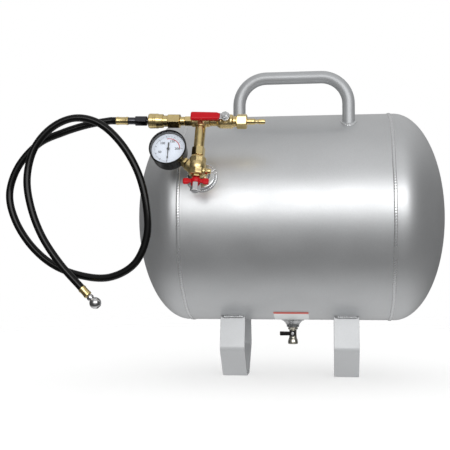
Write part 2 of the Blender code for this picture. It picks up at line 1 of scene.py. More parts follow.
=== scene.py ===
"""Looks for the air receiver tank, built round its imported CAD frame: a silver welded tank with strap feet and a tube
handle, a brass manifold with a gauge, two valves and a quick coupler, and a black whip hose with a ball chuck."""

import json
from math import atan2, cos, hypot, pi, radians, sin, sqrt

import bmesh
import bpy
from mathutils import Matrix, Vector


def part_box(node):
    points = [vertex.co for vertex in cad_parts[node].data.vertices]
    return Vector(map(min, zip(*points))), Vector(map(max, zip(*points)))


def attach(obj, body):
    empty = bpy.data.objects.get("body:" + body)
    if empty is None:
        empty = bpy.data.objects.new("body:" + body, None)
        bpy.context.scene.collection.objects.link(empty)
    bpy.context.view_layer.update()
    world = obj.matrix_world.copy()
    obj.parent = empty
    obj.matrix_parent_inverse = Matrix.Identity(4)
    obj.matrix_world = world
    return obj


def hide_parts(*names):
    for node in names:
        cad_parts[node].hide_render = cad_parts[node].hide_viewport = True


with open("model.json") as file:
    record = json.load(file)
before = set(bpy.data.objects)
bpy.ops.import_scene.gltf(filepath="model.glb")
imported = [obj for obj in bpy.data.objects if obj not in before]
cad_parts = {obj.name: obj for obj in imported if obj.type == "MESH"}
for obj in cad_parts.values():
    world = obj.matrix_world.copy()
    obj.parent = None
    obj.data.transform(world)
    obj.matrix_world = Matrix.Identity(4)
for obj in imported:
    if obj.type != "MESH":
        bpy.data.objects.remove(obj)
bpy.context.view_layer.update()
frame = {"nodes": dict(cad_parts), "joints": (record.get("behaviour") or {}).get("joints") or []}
scene = bpy.context.scene
for name in ("Cube", "Light", "Camera"):
    if name in bpy.data.objects:
        bpy.data.objects.remove(bpy.data.objects[name])

# ---- Places read from the frame ----
barrel_low, barrel_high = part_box("tank_barrel")
TANK = (barrel_low + barrel_high) / 2
RADIUS = (barrel_high.z - barrel_low.z) / 2
SEAM_X = barrel_high.x
WALL = 0.003
SHARP_ANGLE = radians(34)  # edges sharper than this stay crisp
joints = {joint["name"]: joint for joint in frame["joints"]}

UP = Vector(joints["shutoff_turn"]["axis"]).normalized()
INWARD = Vector(joints["fill_valve_turn"]["axis"]).normalized()
ALONG = INWARD.cross(UP).normalized()


def framed(origin, x_axis, y_axis, z_axis):
    turn = Matrix((x_axis, y_axis, z_axis)).transposed().to_4x4()
    return Matrix.Translation(origin) @ turn


# The manifold's frame has X along the upper run, Y towards the tank and Z up the riser.
MANIFOLD = framed(Vector(joints["shutoff_turn"]["pos_m"]), ALONG, INWARD, UP)
RUN_HEIGHT = 0.0684
RUN = MANIFOLD @ Matrix.Translation((0, 0, RUN_HEIGHT))
FILL_TURN = framed(Vector(joints["fill_valve_turn"]["pos_m"]), ALONG, INWARD, UP)
GAUGE = framed(Vector(joints["needle_turn"]["pos_m"]), ALONG, INWARD, UP)
DRAIN_TURN = Matrix.Translation(Vector(joints["drain_turn"]["pos_m"]))
DRAIN = Matrix.Translation((DRAIN_TURN.translation.x, TANK.y, 0))

AIM = {
    "+X": Matrix.Rotation(pi / 2, 4, "Y"),
    "-X": Matrix.Rotation(-pi / 2, 4, "Y"),
    "+Y": Matrix.Rotation(-pi / 2, 4, "X"),
    "-Y": Matrix.Rotation(pi / 2, 4, "X"),
    "+Z": Matrix.Identity(4),
    "-Z": Matrix.Rotation(pi, 4, "X"),
}

# ---- Camera ----
camera_data = bpy.data.cameras.new("camera")
camera_data.sensor_width = 36
camera_data.lens = 67.58
camera = bpy.data.objects.new("camera", camera_data)
camera.location = (0.0658, TANK.y - 1.3787, 0.1684)
camera.rotation_euler = (pi / 2 + 0.054, 0, 0.125)
scene.collection.objects.link(camera)
scene.camera = camera

# ---- Hose: one and a half turns that come forwards as they go ----
HOSE_RADIUS = 0.0054
HOSE_START = -0.1263  # along the run, where the hose leaves its ferrule
HOSE_POINTS = 60
HOSE_ROUTE = [
    (-0.258, -0.1775, 0.3880),
    (-0.289, -0.1785, 0.3830),
    (-0.326, -0.1800, 0.3720),
    (-0.362, -0.1815, 0.3560),
    (-0.392, -0.1830, 0.3230),
    (-0.405, -0.1840, 0.2830),
    (-0.396, -0.1850, 0.2440),
    (-0.371, -0.1865, 0.2060),
    (-0.336, -0.1880, 0.1770),
    (-0.292, -0.1900, 0.1610),
    (-0.250, -0.1920, 0.1590),
    (-0.214, -0.1935, 0.1780),
    (-0.196, -0.1950, 0.2160),
    (-0.196, -0.1965, 0.2600),
    (-0.208, -0.1980, 0.3080),
    (-0.232, -0.1995, 0.3500),
    (-0.264, -0.2010, 0.3800),
    (-0.300, -0.2025, 0.3890),
    (-0.334, -0.2040, 0.3760),
    (-0.360, -0.2055, 0.3460),
    (-0.370, -0.2070, 0.3040),
    (-0.364, -0.2080, 0.2620),
    (-0.346, -0.2095, 0.2180),
    (-0.318, -0.2110, 0.1780),
    (-0.286, -0.2125, 0.1440),
]


def smooth_path(points, count):
    """Evenly numbered points on a Catmull-Rom curve through the given ones."""
    points = [Vector(p) for p in points]
    ends = [2 * points[0] - points[1], *points, 2 * points[-1] - points[-2]]
    path = []
    for i in range(count):
        along = i * (len(points) - 1) / (count - 1)
        k = min(int(along), len(points) - 2)
        t = along - k
        a, b, c, d = ends[k : k + 4]
        cubic = (3 * b - a - 3 * c + d) * t**3 + (2 * a - 5 * b + 4 * c - d) * t**2 + (c - a) * t
        path.append(b + cubic / 2)
    return path


hose_exit = RUN @ Vector((HOSE_START, 0, 0))
hose_straight = RUN @ Vector((HOSE_START - 0.006, 0, 0))
hose_guide = [hose_exit, hose_straight, *[Vector((x, y + TANK.y, z)) for x, y, z in HOSE_ROUTE]]
hose_path = smooth_path(hose_guide, HOSE_POINTS)
hose_end = hose_path[-1]
hose_direction = (hose_path[-1] - hose_path[-2]).normalized()
CHUCK = Matrix.Translation(hose_end) @ hose_direction.to_track_quat("Z", "Y").to_matrix().to_4x4()


# ---- Materials ----
def painted_steel(name, colour, metallic, roughness):
    """Silver enamel: metal flake under a thin clear coat, with orange peel and a little dust and handling wear."""
    made = bpy.data.materials.new(name)
    made.use_nodes = True
    nodes = made.node_tree.nodes
    links = made.node_tree.links
    nodes.clear()

    flake_group = nodes.new("NodeFrame")
    flake_group.label = "flake in the paint"
    peel_group = nodes.new("NodeFrame")
    peel_group.label = "orange peel"
    wear_group = nodes.new("NodeFrame")
    wear_group.label = "handling marks"

    output = nodes.new("ShaderNodeOutputMaterial")
    output.label = "paint out"
    paint = nodes.new("ShaderNodeBsdfPrincipled")
    paint.label = "silver enamel"
    place = nodes.new("ShaderNodeTexCoord")
    place.label = "place on the object"

    flake = nodes.new("ShaderNodeTexVoronoi")
    flake.label = "aluminium flakes"
    flake.parent = flake_group
    flake_tone = nodes.new("ShaderNodeMapRange")
    flake_tone.label = "flake brightness"
    flake_tone.parent = flake_group
    cloud = nodes.new("ShaderNodeTexNoise")
    cloud.label = "uneven spray coat"
    cloud.parent = flake_group
    cloud_tone = nodes.new("ShaderNodeMapRange")
    cloud_tone.label = "coat lightness"
    cloud_tone.parent = flake_group
    tone = nodes.new("ShaderNodeMath")
    tone.label = "flake times coat"
    tone.parent = flake_group
    tint = nodes.new("ShaderNodeMix")
    tint.label = "paint colour"
    tint.parent = flake_group

    peel = nodes.new("ShaderNodeTexNoise")
    peel.label = "orange peel height"
    peel.parent = peel_group
    grit = nodes.new("ShaderNodeTexNoise")
    grit.label = "fine grit height"
    grit.parent = peel_group
    peel_bump = nodes.new("ShaderNodeBump")
    peel_bump.label = "orange peel bump"
    peel_bump.parent = peel_group
    grit_bump = nodes.new("ShaderNodeBump")
    grit_bump.label = "grit bump"
    grit_bump.parent = peel_group

    rub = nodes.new("ShaderNodeTexNoise")
    rub.label = "rubbed patches"
    rub.parent = wear_group
    rub_range = nodes.new("ShaderNodeMapRange")
    rub_range.label = "roughness of the patches"
    rub_range.parent = wear_group

    flake.inputs["Scale"].default_value = 2600
    flake_tone.inputs["To Min"].default_value = 0.88
    flake_tone.inputs["To Max"].default_value = 1.06
    cloud.inputs["Scale"].default_value = 7
    cloud.inputs["Detail"].default_value = 4
    cloud_tone.inputs["From Min"].default_value = 0.35
    cloud_tone.inputs["From Max"].default_value = 0.65
    cloud_tone.inputs["To Min"].default_value = 0.96
    cloud_tone.inputs["To Max"].default_value = 1.03
    tone.operation = "MULTIPLY"
    tint.data_type = "RGBA"
    tint.blend_type = "MULTIPLY"
    tint.inputs["Factor"].default_value = 1.0
    tint.inputs["A"].default_value = (*colour, 1)
    peel.inputs["Scale"].default_value = 240
    peel.inputs["Detail"].default_value = 2
    grit.inputs["Scale"].default_value = 1500
    grit.inputs["Detail"].default_value = 3
    peel_bump.inputs["Strength"].default_value = 0.06
    peel_bump.inputs["Distance"].default_value = 0.0006
    grit_bump.inputs["Strength"].default_value = 0.05
    grit_bump.inputs["Distance"].default_value = 0.0002
    rub.inputs["Scale"].default_value = 16
    rub.inputs["Detail"].default_value = 6
    rub.inputs["Roughness"].default_value = 0.6
    rub_range.inputs["From Min"].default_value = 0.35
    rub_range.inputs["From Max"].default_value = 0.70
    rub_range.inputs["To Min"].default_value = roughness - 0.025
    rub_range.inputs["To Max"].default_value = roughness + 0.045
    paint.inputs["Metallic"].default_value = metallic
    paint.inputs["Coat Weight"].default_value = 0.25
    paint.inputs["Coat Roughness"].default_value = 0.18

    links.new(place.outputs["Object"], flake.inputs["Vector"])
    links.new(place.outputs["Object"], cloud.inputs["Vector"])
    links.new(place.outputs["Object"], peel.inputs["Vector"])
    links.new(place.outputs["Object"], grit.inputs["Vector"])
    links.new(place.outputs["Object"], rub.inputs["Vector"])
    links.new(flake.outputs["Color"], flake_tone.inputs["Value"])
    links.new(cloud.outputs["Fac"], cloud_tone.inputs["Value"])
    links.new(flake_tone.outputs["Result"], tone.inputs[0])
    links.new(cloud_tone.outputs["Result"], tone.inputs[1])
    links.new(tone.outputs["Value"], tint.inputs["B"])
    links.new(tint.outputs["Result"], paint.inputs["Base Color"])
    links.new(peel.outputs["Fac"], peel_bump.inputs["Height"])
    links.new(grit.outputs["Fac"], grit_bump.inputs["Height"])
    links.new(peel_bump.outputs["Normal"], grit_bump.inputs["Normal"])
    links.new(grit_bump.outputs["Normal"], paint.inputs["Normal"])
    links.new(rub.outputs["Fac"], rub_range.inputs["Value"])
    links.new(rub_range.outputs["Result"], paint.inputs["Roughness"])
    links.new(paint.outputs["BSDF"], output.inputs["Surface"])
    spread_out(nodes)
    return made


def spread_out(nodes):
    """Sets the nodes out in rows of six on the editor's grid, with the output at the right."""
    for i, node in enumerate(n for n in nodes if n.type != "FRAME"):
        node.location = (600 - 260 * (i % 6), -320 * (i // 6))


def bare_metal(name, colour, stain, roughness, grain, dirt=0.35):
    """Turned, drawn or plated metal: fine tool marks, uneven polish, and tarnish that gathers in patches."""
    made = bpy.data.materials.new(name)
    made.use_nodes = True
    nodes = made.node_tree.nodes
    links = made.node_tree.links
    nodes.clear()

    tool_group = nodes.new("NodeFrame")
    tool_group.label = "tool marks"
    tarnish_group = nodes.new("NodeFrame")
    tarnish_group.label = "tarnish"
    polish_group = nodes.new("NodeFrame")
    polish_group.label = "polish"

    output = nodes.new("ShaderNodeOutputMaterial")
    output.label = "metal out"
    metal = nodes.new("ShaderNodeBsdfPrincipled")
    metal.label = "bare metal"
    place = nodes.new("ShaderNodeTexCoord")
    place.label = "place on the object"

    stretch = nodes.new("ShaderNodeMapping")
    stretch.label = "marks run one way"
    stretch.parent = tool_group
    marks = nodes.new("ShaderNodeTexNoise")
    marks.label = "fine tool marks"
    marks.parent = tool_group
    marks_bump = nodes.new("ShaderNodeBump")
    marks_bump.label = "tool mark bump"
    marks_bump.parent = tool_group

    patches = nodes.new("ShaderNodeTexNoise")
    patches.label = "tarnish patches"
    patches.parent = tarnish_group
    patches_range = nodes.new("ShaderNodeMapRange")
    patches_range.label = "how much tarnish"
    patches_range.parent = tarnish_group
    tarnish = nodes.new("ShaderNodeMix")
    tarnish.label = "metal or tarnish"
    tarnish.parent = tarnish_group

    smear = nodes.new("ShaderNodeTexNoise")
    smear.label = "smears in the polish"
    smear.parent = polish_group
    smear_range = nodes.new("ShaderNodeMapRange")
    smear_range.label = "roughness of the smears"
    smear_range.parent = polish_group

    stretch.inputs["Scale"].default_value = (1.0, 0.35, 0.35)
    marks.inputs["Scale"].default_value = grain
    marks.inputs["Detail"].default_value = 3
    marks_bump.inputs["Strength"].default_value = 0.10
    marks_bump.inputs["Distance"].default_value = 0.0002
    patches.inputs["Scale"].default_value = 120
    patches.inputs["Detail"].default_value = 5
    patches_range.inputs["From Min"].default_value = 0.45
    patches_range.inputs["From Max"].default_value = 0.75
    patches_range.inputs["To Min"].default_value = 0.0
    patches_range.inputs["To Max"].default_value = dirt
    tarnish.data_type = "RGBA"
    tarnish.inputs["A"].default_value = (*colour, 1)
    tarnish.inputs["B"].default_value = (*stain, 1)
    smear.inputs["Scale"].default_value = 260
    smear.inputs["Detail"].default_value = 4
    smear_range.inputs["From Min"].default_value = 0.3
    smear_range.inputs["From Max"].default_value = 0.7
    smear_range.inputs["To Min"].default_value = roughness * 0.8
    smear_range.inputs["To Max"].default_value = roughness * 1.35
    metal.inputs["Metallic"].default_value = 1.0

    links.new(place.outputs["Object"], stretch.inputs["Vector"])
    links.new(stretch.outputs["Vector"], marks.inputs["Vector"])
    links.new(marks.outputs["Fac"], marks_bump.inputs["Height"])
    links.new(marks_bump.outputs["Normal"], metal.inputs["Normal"])
    links.new(place.outputs["Object"], patches.inputs["Vector"])
    links.new(patches.outputs["Fac"], patches_range.inputs["Value"])
    links.new(patches_range.outputs["Result"], tarnish.inputs["Factor"])
    links.new(tarnish.outputs["Result"], metal.inputs["Base Color"])
    links.new(place.outputs["Object"], smear.inputs["Vector"])
    links.new(smear.outputs["Fac"], smear_range.inputs["Value"])
    links.new(smear_range.outputs["Result"], metal.inputs["Roughness"])
    links.new(metal.outputs["BSDF"], output.inputs["Surface"])
    spread_out(nodes)
    return made


def moulded(name, colour, worn, roughness, texture, bump):
    """Moulded plastic, dipped vinyl or rubber: a fine moulded texture, with scuffs that are lighter and duller."""
    made = bpy.data.materials.new(name)
    made.use_nodes = True
    nodes = made.node_tree.nodes
    links = made.node_tree.links
    nodes.clear()

    skin_group = nodes.new("NodeFrame")
    skin_group.label = "moulded skin"
    scuff_group = nodes.new("NodeFrame")
    scuff_group.label = "scuffs"

    output = nodes.new("ShaderNodeOutputMaterial")
    output.label = "plastic out"
    plastic = nodes.new("ShaderNodeBsdfPrincipled")
    plastic.label = "moulded plastic"
    place = nodes.new("ShaderNodeTexCoord")
    place.label = "place on the object"

    skin = nodes.new("ShaderNodeTexNoise")
    skin.label = "skin height"
    skin.parent = skin_group
    skin_bump = nodes.new("ShaderNodeBump")
    skin_bump.label = "skin bump"
    skin_bump.parent = skin_group

    scuff = nodes.new("ShaderNodeTexNoise")
    scuff.label = "scuffed patches"
    scuff.parent = scuff_group
    scuff_share = nodes.new("ShaderNodeMapRange")
    scuff_share.label = "how scuffed"
    scuff_share.parent = scuff_group
    scuff_colour = nodes.new("ShaderNodeMix")
    scuff_colour.label = "clean or scuffed"
    scuff_colour.parent = scuff_group
    scuff_rough = nodes.new("ShaderNodeMapRange")
    scuff_rough.label = "scuffs are duller"
    scuff_rough.parent = scuff_group

    plastic.inputs["Specular IOR Level"].default_value = 0.28
    skin.inputs["Scale"].default_value = texture
    skin.inputs["Detail"].default_value = 3
    skin_bump.inputs["Strength"].default_value = bump
    skin_bump.inputs["Distance"].default_value = 0.0003
    scuff.inputs["Scale"].default_value = 90
    scuff.inputs["Detail"].default_value = 6
    scuff.inputs["Roughness"].default_value = 0.65
    scuff_share.inputs["From Min"].default_value = 0.50
    scuff_share.inputs["From Max"].default_value = 0.80
    scuff_share.inputs["To Max"].default_value = 0.6
    scuff_colour.data_type = "RGBA"
    scuff_colour.inputs["A"].default_value = (*colour, 1)
    scuff_colour.inputs["B"].default_value = (*worn, 1)
    scuff_rough.inputs["To Min"].default_value = roughness
    scuff_rough.inputs["To Max"].default_value = roughness + 0.14

    links.new(place.outputs["Object"], skin.inputs["Vector"])
    links.new(skin.outputs["Fac"], skin_bump.inputs["Height"])
    links.new(skin_bump.outputs["Normal"], plastic.inputs["Normal"])
    links.new(place.outputs["Object"], scuff.inputs["Vector"])
    links.new(scuff.outputs["Fac"], scuff_share.inputs["Value"])
    links.new(scuff_share.outputs["Result"], scuff_colour.inputs["Factor"])
    links.new(scuff_colour.outputs["Result"], plastic.inputs["Base Color"])
    links.new(scuff_share.outputs["Result"], scuff_rough.inputs["Value"])
    links.new(scuff_rough.outputs["Result"], plastic.inputs["Roughness"])
    links.new(plastic.outputs["BSDF"], output.inputs["Surface"])
    spread_out(nodes)
    return made


def printed(name, colour, faded, roughness):
    """Printed card, foil or ink: an even colour with faint mottling."""
    made = bpy.data.materials.new(name)
    made.use_nodes = True
    nodes = made.node_tree.nodes
    links = made.node_tree.links
    nodes.clear()

    ink_group = nodes.new("NodeFrame")
    ink_group.label = "mottled ink"
    output = nodes.new("ShaderNodeOutputMaterial")
    output.label = "print out"
    ink = nodes.new("ShaderNodeBsdfPrincipled")
    ink.label = "printed surface"
    place = nodes.new("ShaderNodeTexCoord")
    place.label = "place on the object"
    mottle = nodes.new("ShaderNodeTexNoise")
    mottle.label = "mottling"
    mottle.parent = ink_group
    mottle_colour = nodes.new("ShaderNodeMix")
    mottle_colour.label = "full or faded ink"
    mottle_colour.parent = ink_group

    mottle.inputs["Scale"].default_value = 420
    mottle.inputs["Detail"].default_value = 3
    mottle_colour.data_type = "RGBA"
    mottle_colour.inputs["A"].default_value = (*colour, 1)
    mottle_colour.inputs["B"].default_value = (*faded, 1)
    ink.inputs["Roughness"].default_value = roughness

    links.new(place.outputs["Object"], mottle.inputs["Vector"])
    links.new(mottle.outputs["Fac"], mottle_colour.inputs["Factor"])
    links.new(mottle_colour.outputs["Result"], ink.inputs["Base Color"])
    links.new(ink.outputs["BSDF"], output.inputs["Surface"])
    spread_out(nodes)
    return made


def clear_window(name):
    """The gauge's window: clear, with a few smears that dull it."""
    made = bpy.data.materials.new(name)
    made.use_nodes = True
    nodes = made.node_tree.nodes
    links = made.node_tree.links
    nodes.clear()

    smear_group = nodes.new("NodeFrame")
    smear_group.label = "smears on the window"
    output = nodes.new("ShaderNodeOutputMaterial")
    output.label = "window out"
    window = nodes.new("ShaderNodeBsdfPrincipled")
    window.label = "clear window"
    place = nodes.new("ShaderNodeTexCoord")
    place.label = "place on the object"
    smear = nodes.new("ShaderNodeTexNoise")
    smear.label = "smears"
    smear.parent = smear_group
    smear_range = nodes.new("ShaderNodeMapRange")
    smear_range.label = "roughness of the smears"
    smear_range.parent = smear_group

    smear.inputs["Scale"].default_value = 70
    smear.inputs["Detail"].default_value = 4
    smear_range.inputs["From Min"].default_value = 0.4
    smear_range.inputs["To Min"].default_value = 0.02
    smear_range.inputs["To Max"].default_value = 0.10
    window.inputs["Base Color"].default_value = (0.96, 0.98, 0.99, 1)
    window.inputs["IOR"].default_value = 1.45
    window.inputs["Alpha"].default_value = 0.04

    links.new(place.outputs["Object"], smear.inputs["Vector"])
    links.new(smear.outputs["Fac"], smear_range.inputs["Value"])
    links.new(smear_range.outputs["Result"], window.inputs["Roughness"])
    links.new(window.outputs["BSDF"], output.inputs["Surface"])
    spread_out(nodes)
    return made


def studio_floor(name):
    """A pale floor, part see-through so that its shadows are faint, that fades out with distance and has no edge."""
    made = bpy.data.materials.new(name)
    made.use_nodes = True
    nodes = made.node_tree.nodes
    links = made.node_tree.links
    nodes.clear()

    fade_group = nodes.new("NodeFrame")
    fade_group.label = "fade to the backdrop"
    output = nodes.new("ShaderNodeOutputMaterial")
    output.label = "floor out"
    paper = nodes.new("ShaderNodeBsdfDiffuse")
    paper.label = "pale paper"
    nothing = nodes.new("ShaderNodeBsdfTransparent")
    nothing.label = "backdrop shows"
    place = nodes.new("ShaderNodeTexCoord")
    place.label = "place on the floor"
    distance = nodes.new("ShaderNodeVectorMath")
    distance.label = "distance from the middle"
    distance.parent = fade_group
    fade = nodes.new("ShaderNodeMapRange")
    fade.label = "how far it has faded"
    fade.parent = fade_group
    blend = nodes.new("ShaderNodeMixShader")
    blend.label = "paper or backdrop"
    blend.parent = fade_group

    paper.inputs["Color"].default_value = (0.93, 0.93, 0.93, 1)
    distance.operation = "LENGTH"
    fade.interpolation_type = "SMOOTHSTEP"
    fade.inputs["From Min"].default_value = 0.7
    fade.inputs["From Max"].default_value = 2.2
    fade.inputs["To Min"].default_value = 0.6

    links.new(place.outputs["Object"], distance.inputs[0])
    links.new(distance.outputs["Value"], fade.inputs["Value"])
    links.new(fade.outputs["Result"], blend.inputs["Fac"])
    links.new(paper.outputs["BSDF"], blend.inputs[1])
    links.new(nothing.outputs["BSDF"], blend.inputs[2])
    links.new(blend.outputs["Shader"], output.inputs["Surface"])
    spread_out(nodes)
    return made


SILVER = painted_steel("silver_enamel", (0.60, 0.61, 0.62), 0.85, 0.40)
# Painted light: the feet get a less metallic copy of the tank's silver enamel, tuned so that they look lighter,
# standing in for floor light reflected into them.
LIT_FOOT_SILVER = painted_steel("foot_enamel_painted_light", (0.50, 0.51, 0.52), 0.30, 0.45)
# Painted shade: the handle gets a darker, less metallic copy of the tank's silver enamel, standing in for the shade the
# tube is in.
SHADED_HANDLE_SILVER = painted_steel("handle_enamel_painted_shade", (0.40, 0.41, 0.42), 0.55, 0.46)
WELD = painted_steel("painted_weld", (0.62, 0.63, 0.64), 0.80, 0.26)
BRASS = bare_metal("machined_brass", (0.88, 0.70, 0.34), (0.46, 0.30, 0.12), 0.19, 1500)
CAST_BRASS = bare_metal("forged_brass", (0.86, 0.68, 0.34), (0.46, 0.30, 0.12), 0.27, 1100, 0.5)
CHROME = bare_metal("bright_chrome", (0.80, 0.80, 0.81), (0.50, 0.50, 0.52), 0.07, 1800, 0.15)
ZINC = bare_metal("zinc_plate", (0.68, 0.69, 0.70), (0.45, 0.45, 0.45), 0.24, 1300, 0.3)
NICKEL = bare_metal("nickel_plate", (0.74, 0.71, 0.62), (0.45, 0.40, 0.30), 0.16, 1300, 0.3)
# Painted reflection: the hose plug is chrome, made a near-black metal so that it shows the dark reflection of its
# surroundings.
DARK_REFLECTION_CHROME = bare_metal("plug_chrome_painted_dark_reflection", (0.10, 0.10, 0.11), (0.04, 0.04, 0.045), 0.10, 1500, 0.3)
RED = moulded("red_vinyl_dip", (0.38, 0.001, 0.005), (0.42, 0.012, 0.016), 0.26, 700, 0.10)
BLACK = moulded("black_enamel", (0.002, 0.002, 0.002), (0.006, 0.006, 0.006), 0.16, 900, 0.05)
RUBBER = moulded("hose_rubber_skin", (0.002, 0.002, 0.002), (0.005, 0.005, 0.005), 0.13, 800, 0.08)
SEAL = moulded("seal_rubber", (0.010, 0.010, 0.010), (0.03, 0.03, 0.03), 0.50, 1200, 0.3)
DIAL = printed("dial_face", (0.64, 0.69, 0.77), (0.60, 0.65, 0.74), 0.55)
BLACK_INK = printed("dial_black_ink", (0.004, 0.004, 0.006), (0.010, 0.010, 0.012), 0.6)
RED_INK = printed("dial_red_ink", (0.40, 0.006, 0.02), (0.45, 0.02, 0.03), 0.5)
LABEL_WHITE = printed("label_film", (0.74, 0.76, 0.76), (0.66, 0.68, 0.68), 0.35)
LABEL_RED = printed("label_red_band", (0.52, 0.05, 0.03), (0.60, 0.10, 0.07), 0.35)
WINDOW = clear_window("gauge_window")


# ---- Making and fitting pieces ----
CIRCLE_IN_HEX = 0.94  # the circle that a hexagon's ends are turned down to, as a share of its flats


def hexagon(low, high, flats):
    """The rings of a hexagon with turned-down ends."""
    half = flats / 2
    return [(low, half * CIRCLE_IN_HEX), (low, half, -1), (high, half, 1), (high, half * CIRCLE_IN_HEX)]


def verts_of(geom):
    return [item for item in geom if isinstance(item, bmesh.types.BMVert)]


def edges_of(geom):
    return [item for item in geom if isinstance(item, bmesh.types.BMEdge)]


def bevelled(bm, geom, width, segments, affect="EDGES"):
    bmesh.ops.bevel(
        bm,
        geom=geom,
        offset=width,
        segments=segments,
        profile=0.5,
        affect=affect,
        clamp_overlap=True,
        material=-1,
    )


def set_ring(verts, ring, turn):
    for vert in verts:
        angle = atan2(vert.co.y, vert.co.x)
        height, radius = ring[:2]
        if len(ring) == 3:
            radius /= cos((angle - turn) % (pi / 3) - pi / 6)
            height -= ring[2] * (radius - ring[1] * CIRCLE_IN_HEX) / 2
        vert.co = (radius * cos(angle), radius * sin(angle), height)


def add_bar(bm, rings, place=Matrix.Identity(4), sides=48, closed=False, turn=0.0):
    """Draws a bar out of a circle, ring by ring. A ring is (height, radius), or (height, half the flats, end) on a
    hexagon, whose corners fall away towards end -1 or 1."""
    loop = bmesh.ops.create_circle(bm, segments=sides, radius=1.0)["verts"]
    edges = list({edge for vert in loop for edge in vert.link_edges})
    first = edges
    made = list(loop)
    set_ring(loop, rings[0], turn)
    for ring in rings[1:]:
        swept = bmesh.ops.extrude_edge_only(bm, edges=edges)["geom"]
        loop = verts_of(swept)
        inside = set(loop)
        edges = [edge for edge in edges_of(swept) if inside.issuperset(edge.verts)]
        set_ring(loop, ring, turn)
        made += loop
    if closed:
        bmesh.ops.bridge_loops(bm, edges=first + edges)
    else:
        bmesh.ops.edgeloop_fill(bm, edges=first)
        bmesh.ops.edgeloop_fill(bm, edges=edges)
    bmesh.ops.transform(bm, matrix=place, verts=made)


def add_block(bm, size, place=Matrix.Identity(4), bevel=0.0, segments=3):
    made = bmesh.ops.create_cube(bm, size=1.0, matrix=place @ Matrix.Diagonal((*size, 1.0)))["verts"]
    edges = list({edge for vert in made for edge in vert.link_edges})
    if bevel:
        bevelled(bm, edges, bevel, segments)


def add_ball(bm, radius, place, steps=32):
    bmesh.ops.create_uvsphere(bm, u_segments=steps, v_segments=steps // 2, radius=radius, matrix=place)


def soften(bm, width, angle=30.0, segments=2):
    """Rounds the edges that are sharper than the angle."""
    bmesh.ops.recalc_face_normals(bm, faces=bm.faces)
    bm.normal_update()
    edges = [edge for edge in bm.edges if edge.is_manifold and edge.calc_face_angle(0) > radians(angle)]
    bevelled(bm, edges, width, segments)


def finished(name, bm, place=Matrix.Identity(4), even=True):
    """The piece made from a bmesh, with its place in its mesh and crisp flat faces."""
    bmesh.ops.transform(bm, matrix=place, verts=bm.verts)
    bmesh.ops.recalc_face_normals(bm, faces=bm.faces)
    mesh = bpy.data.meshes.new(name)
    bm.to_mesh(mesh)
    bm.free()
    mesh.shade_smooth()
    mesh.set_sharp_from_angle(angle=SHARP_ANGLE)
    made = bpy.data.objects.new(name, mesh)
    scene.collection.objects.link(made)
    if even:
        flats = made.modifiers.new("even_flats", "WEIGHTED_NORMAL")
        flats.keep_sharp = True
    return made


def melted(name, bm, place, voxel, rounding):
    """A forging or a dipped skin: overlapping shapes become one closed skin with rounded inner corners."""
    rough = finished(name + "_rough", bm, even=False)
    skin = rough.modifiers.new("skin", "REMESH")
    skin.mode = "VOXEL"
    skin.voxel_size = voxel
    rounded = rough.modifiers.new("rounding", "SMOOTH")
    rounded.iterations = rounding
    bpy.context.view_layer.update()
    graph = bpy.context.evaluated_depsgraph_get()
    mesh = bpy.data.meshes.new_from_object(rough.evaluated_get(graph))
    bpy.data.objects.remove(rough)
    mesh.name = name
    mesh.transform(place)
    mesh.shade_smooth()
    made = bpy.data.objects.new(name, mesh)
    scene.collection.objects.link(made)
    return made


def turned(name, rings, place, sides=48, soft=0.0002, closed=False, turn=0.0):
    bm = bmesh.new()
    add_bar(bm, rings, sides=sides, closed=closed, turn=turn)
    if soft:
        soften(bm, soft)
    return finished(name, bm, place)


def fitted(piece, body, slot, finish, *nodes):
    """Gives the piece its finish, its body and the CAD nodes it stands for."""
    piece.data.materials.clear()
    piece.data.materials.append(finish)
    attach(piece, body)
    if nodes:
        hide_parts(*nodes)
    return piece


def weld_ring(name, place, radius, out, along, ripples, steps, fall=None):
    """A weld bead round a joint. It is out thick across the joint and along thick down its axis, and fall gives how far
    the surface under it drops at (x, y)."""
    bm = bmesh.new()
    section = bmesh.ops.create_circle(bm, segments=12, radius=1.0)["verts"]
    upright = Matrix.Translation((radius, 0, 0)) @ Matrix.Rotation(pi / 2, 4, "X")
    bmesh.ops.transform(bm, matrix=upright @ Matrix.Diagonal((out, along, 1, 1)), verts=section)
    bmesh.ops.spin(
        bm, geom=bm.verts[:] + bm.edges[:], cent=(0, 0, 0), axis=(0, 0, 1), angle=2 * pi, steps=steps, use_merge=True
    )
    bmesh.ops.remove_doubles(bm, verts=bm.verts, dist=1e-6)
    for vert in bm.verts:
        angle = atan2(vert.co.y, vert.co.x)
        off = hypot(vert.co.x, vert.co.y) - radius
        swell = 1 + 0.16 * abs(sin(ripples * angle / 2 + 0.9 * vert.co.z / along)) - 0.08
        wander = 0.10 * sin(7 * angle) + 0.06 * sin(17 * angle + 1)
        reach = radius + off * swell
        drop = fall(reach * cos(angle), reach * sin(angle)) if fall else 0.0
        vert.co = (reach * cos(angle), reach * sin(angle), vert.co.z * swell + along * wander + drop)
    return finished(name, bm, place, even=False)


def weld_line(name, start, end, radius, ripples):
    """A straight weld bead: a row of overlapping beads, tapered at both ends."""
    start, end = Vector(start), Vector(end)
    length = (end - start).length
    steps = ripples * 4
    rings = []
    for i in range(steps + 1):
        share = i / steps
        taper = min(1, 6 * share + 0.35, 6 * (1 - share) + 0.35)
        rings.append((length * share, radius * taper * (0.92 + 0.16 * abs(sin(pi * ripples * share)))))
    bm = bmesh.new()
    add_bar(bm, rings, sides=14)
    place = Matrix.Translation(start) @ (end - start).to_track_quat("Z", "Y").to_matrix().to_4x4()
    return finished(name, bm, place, even=False)


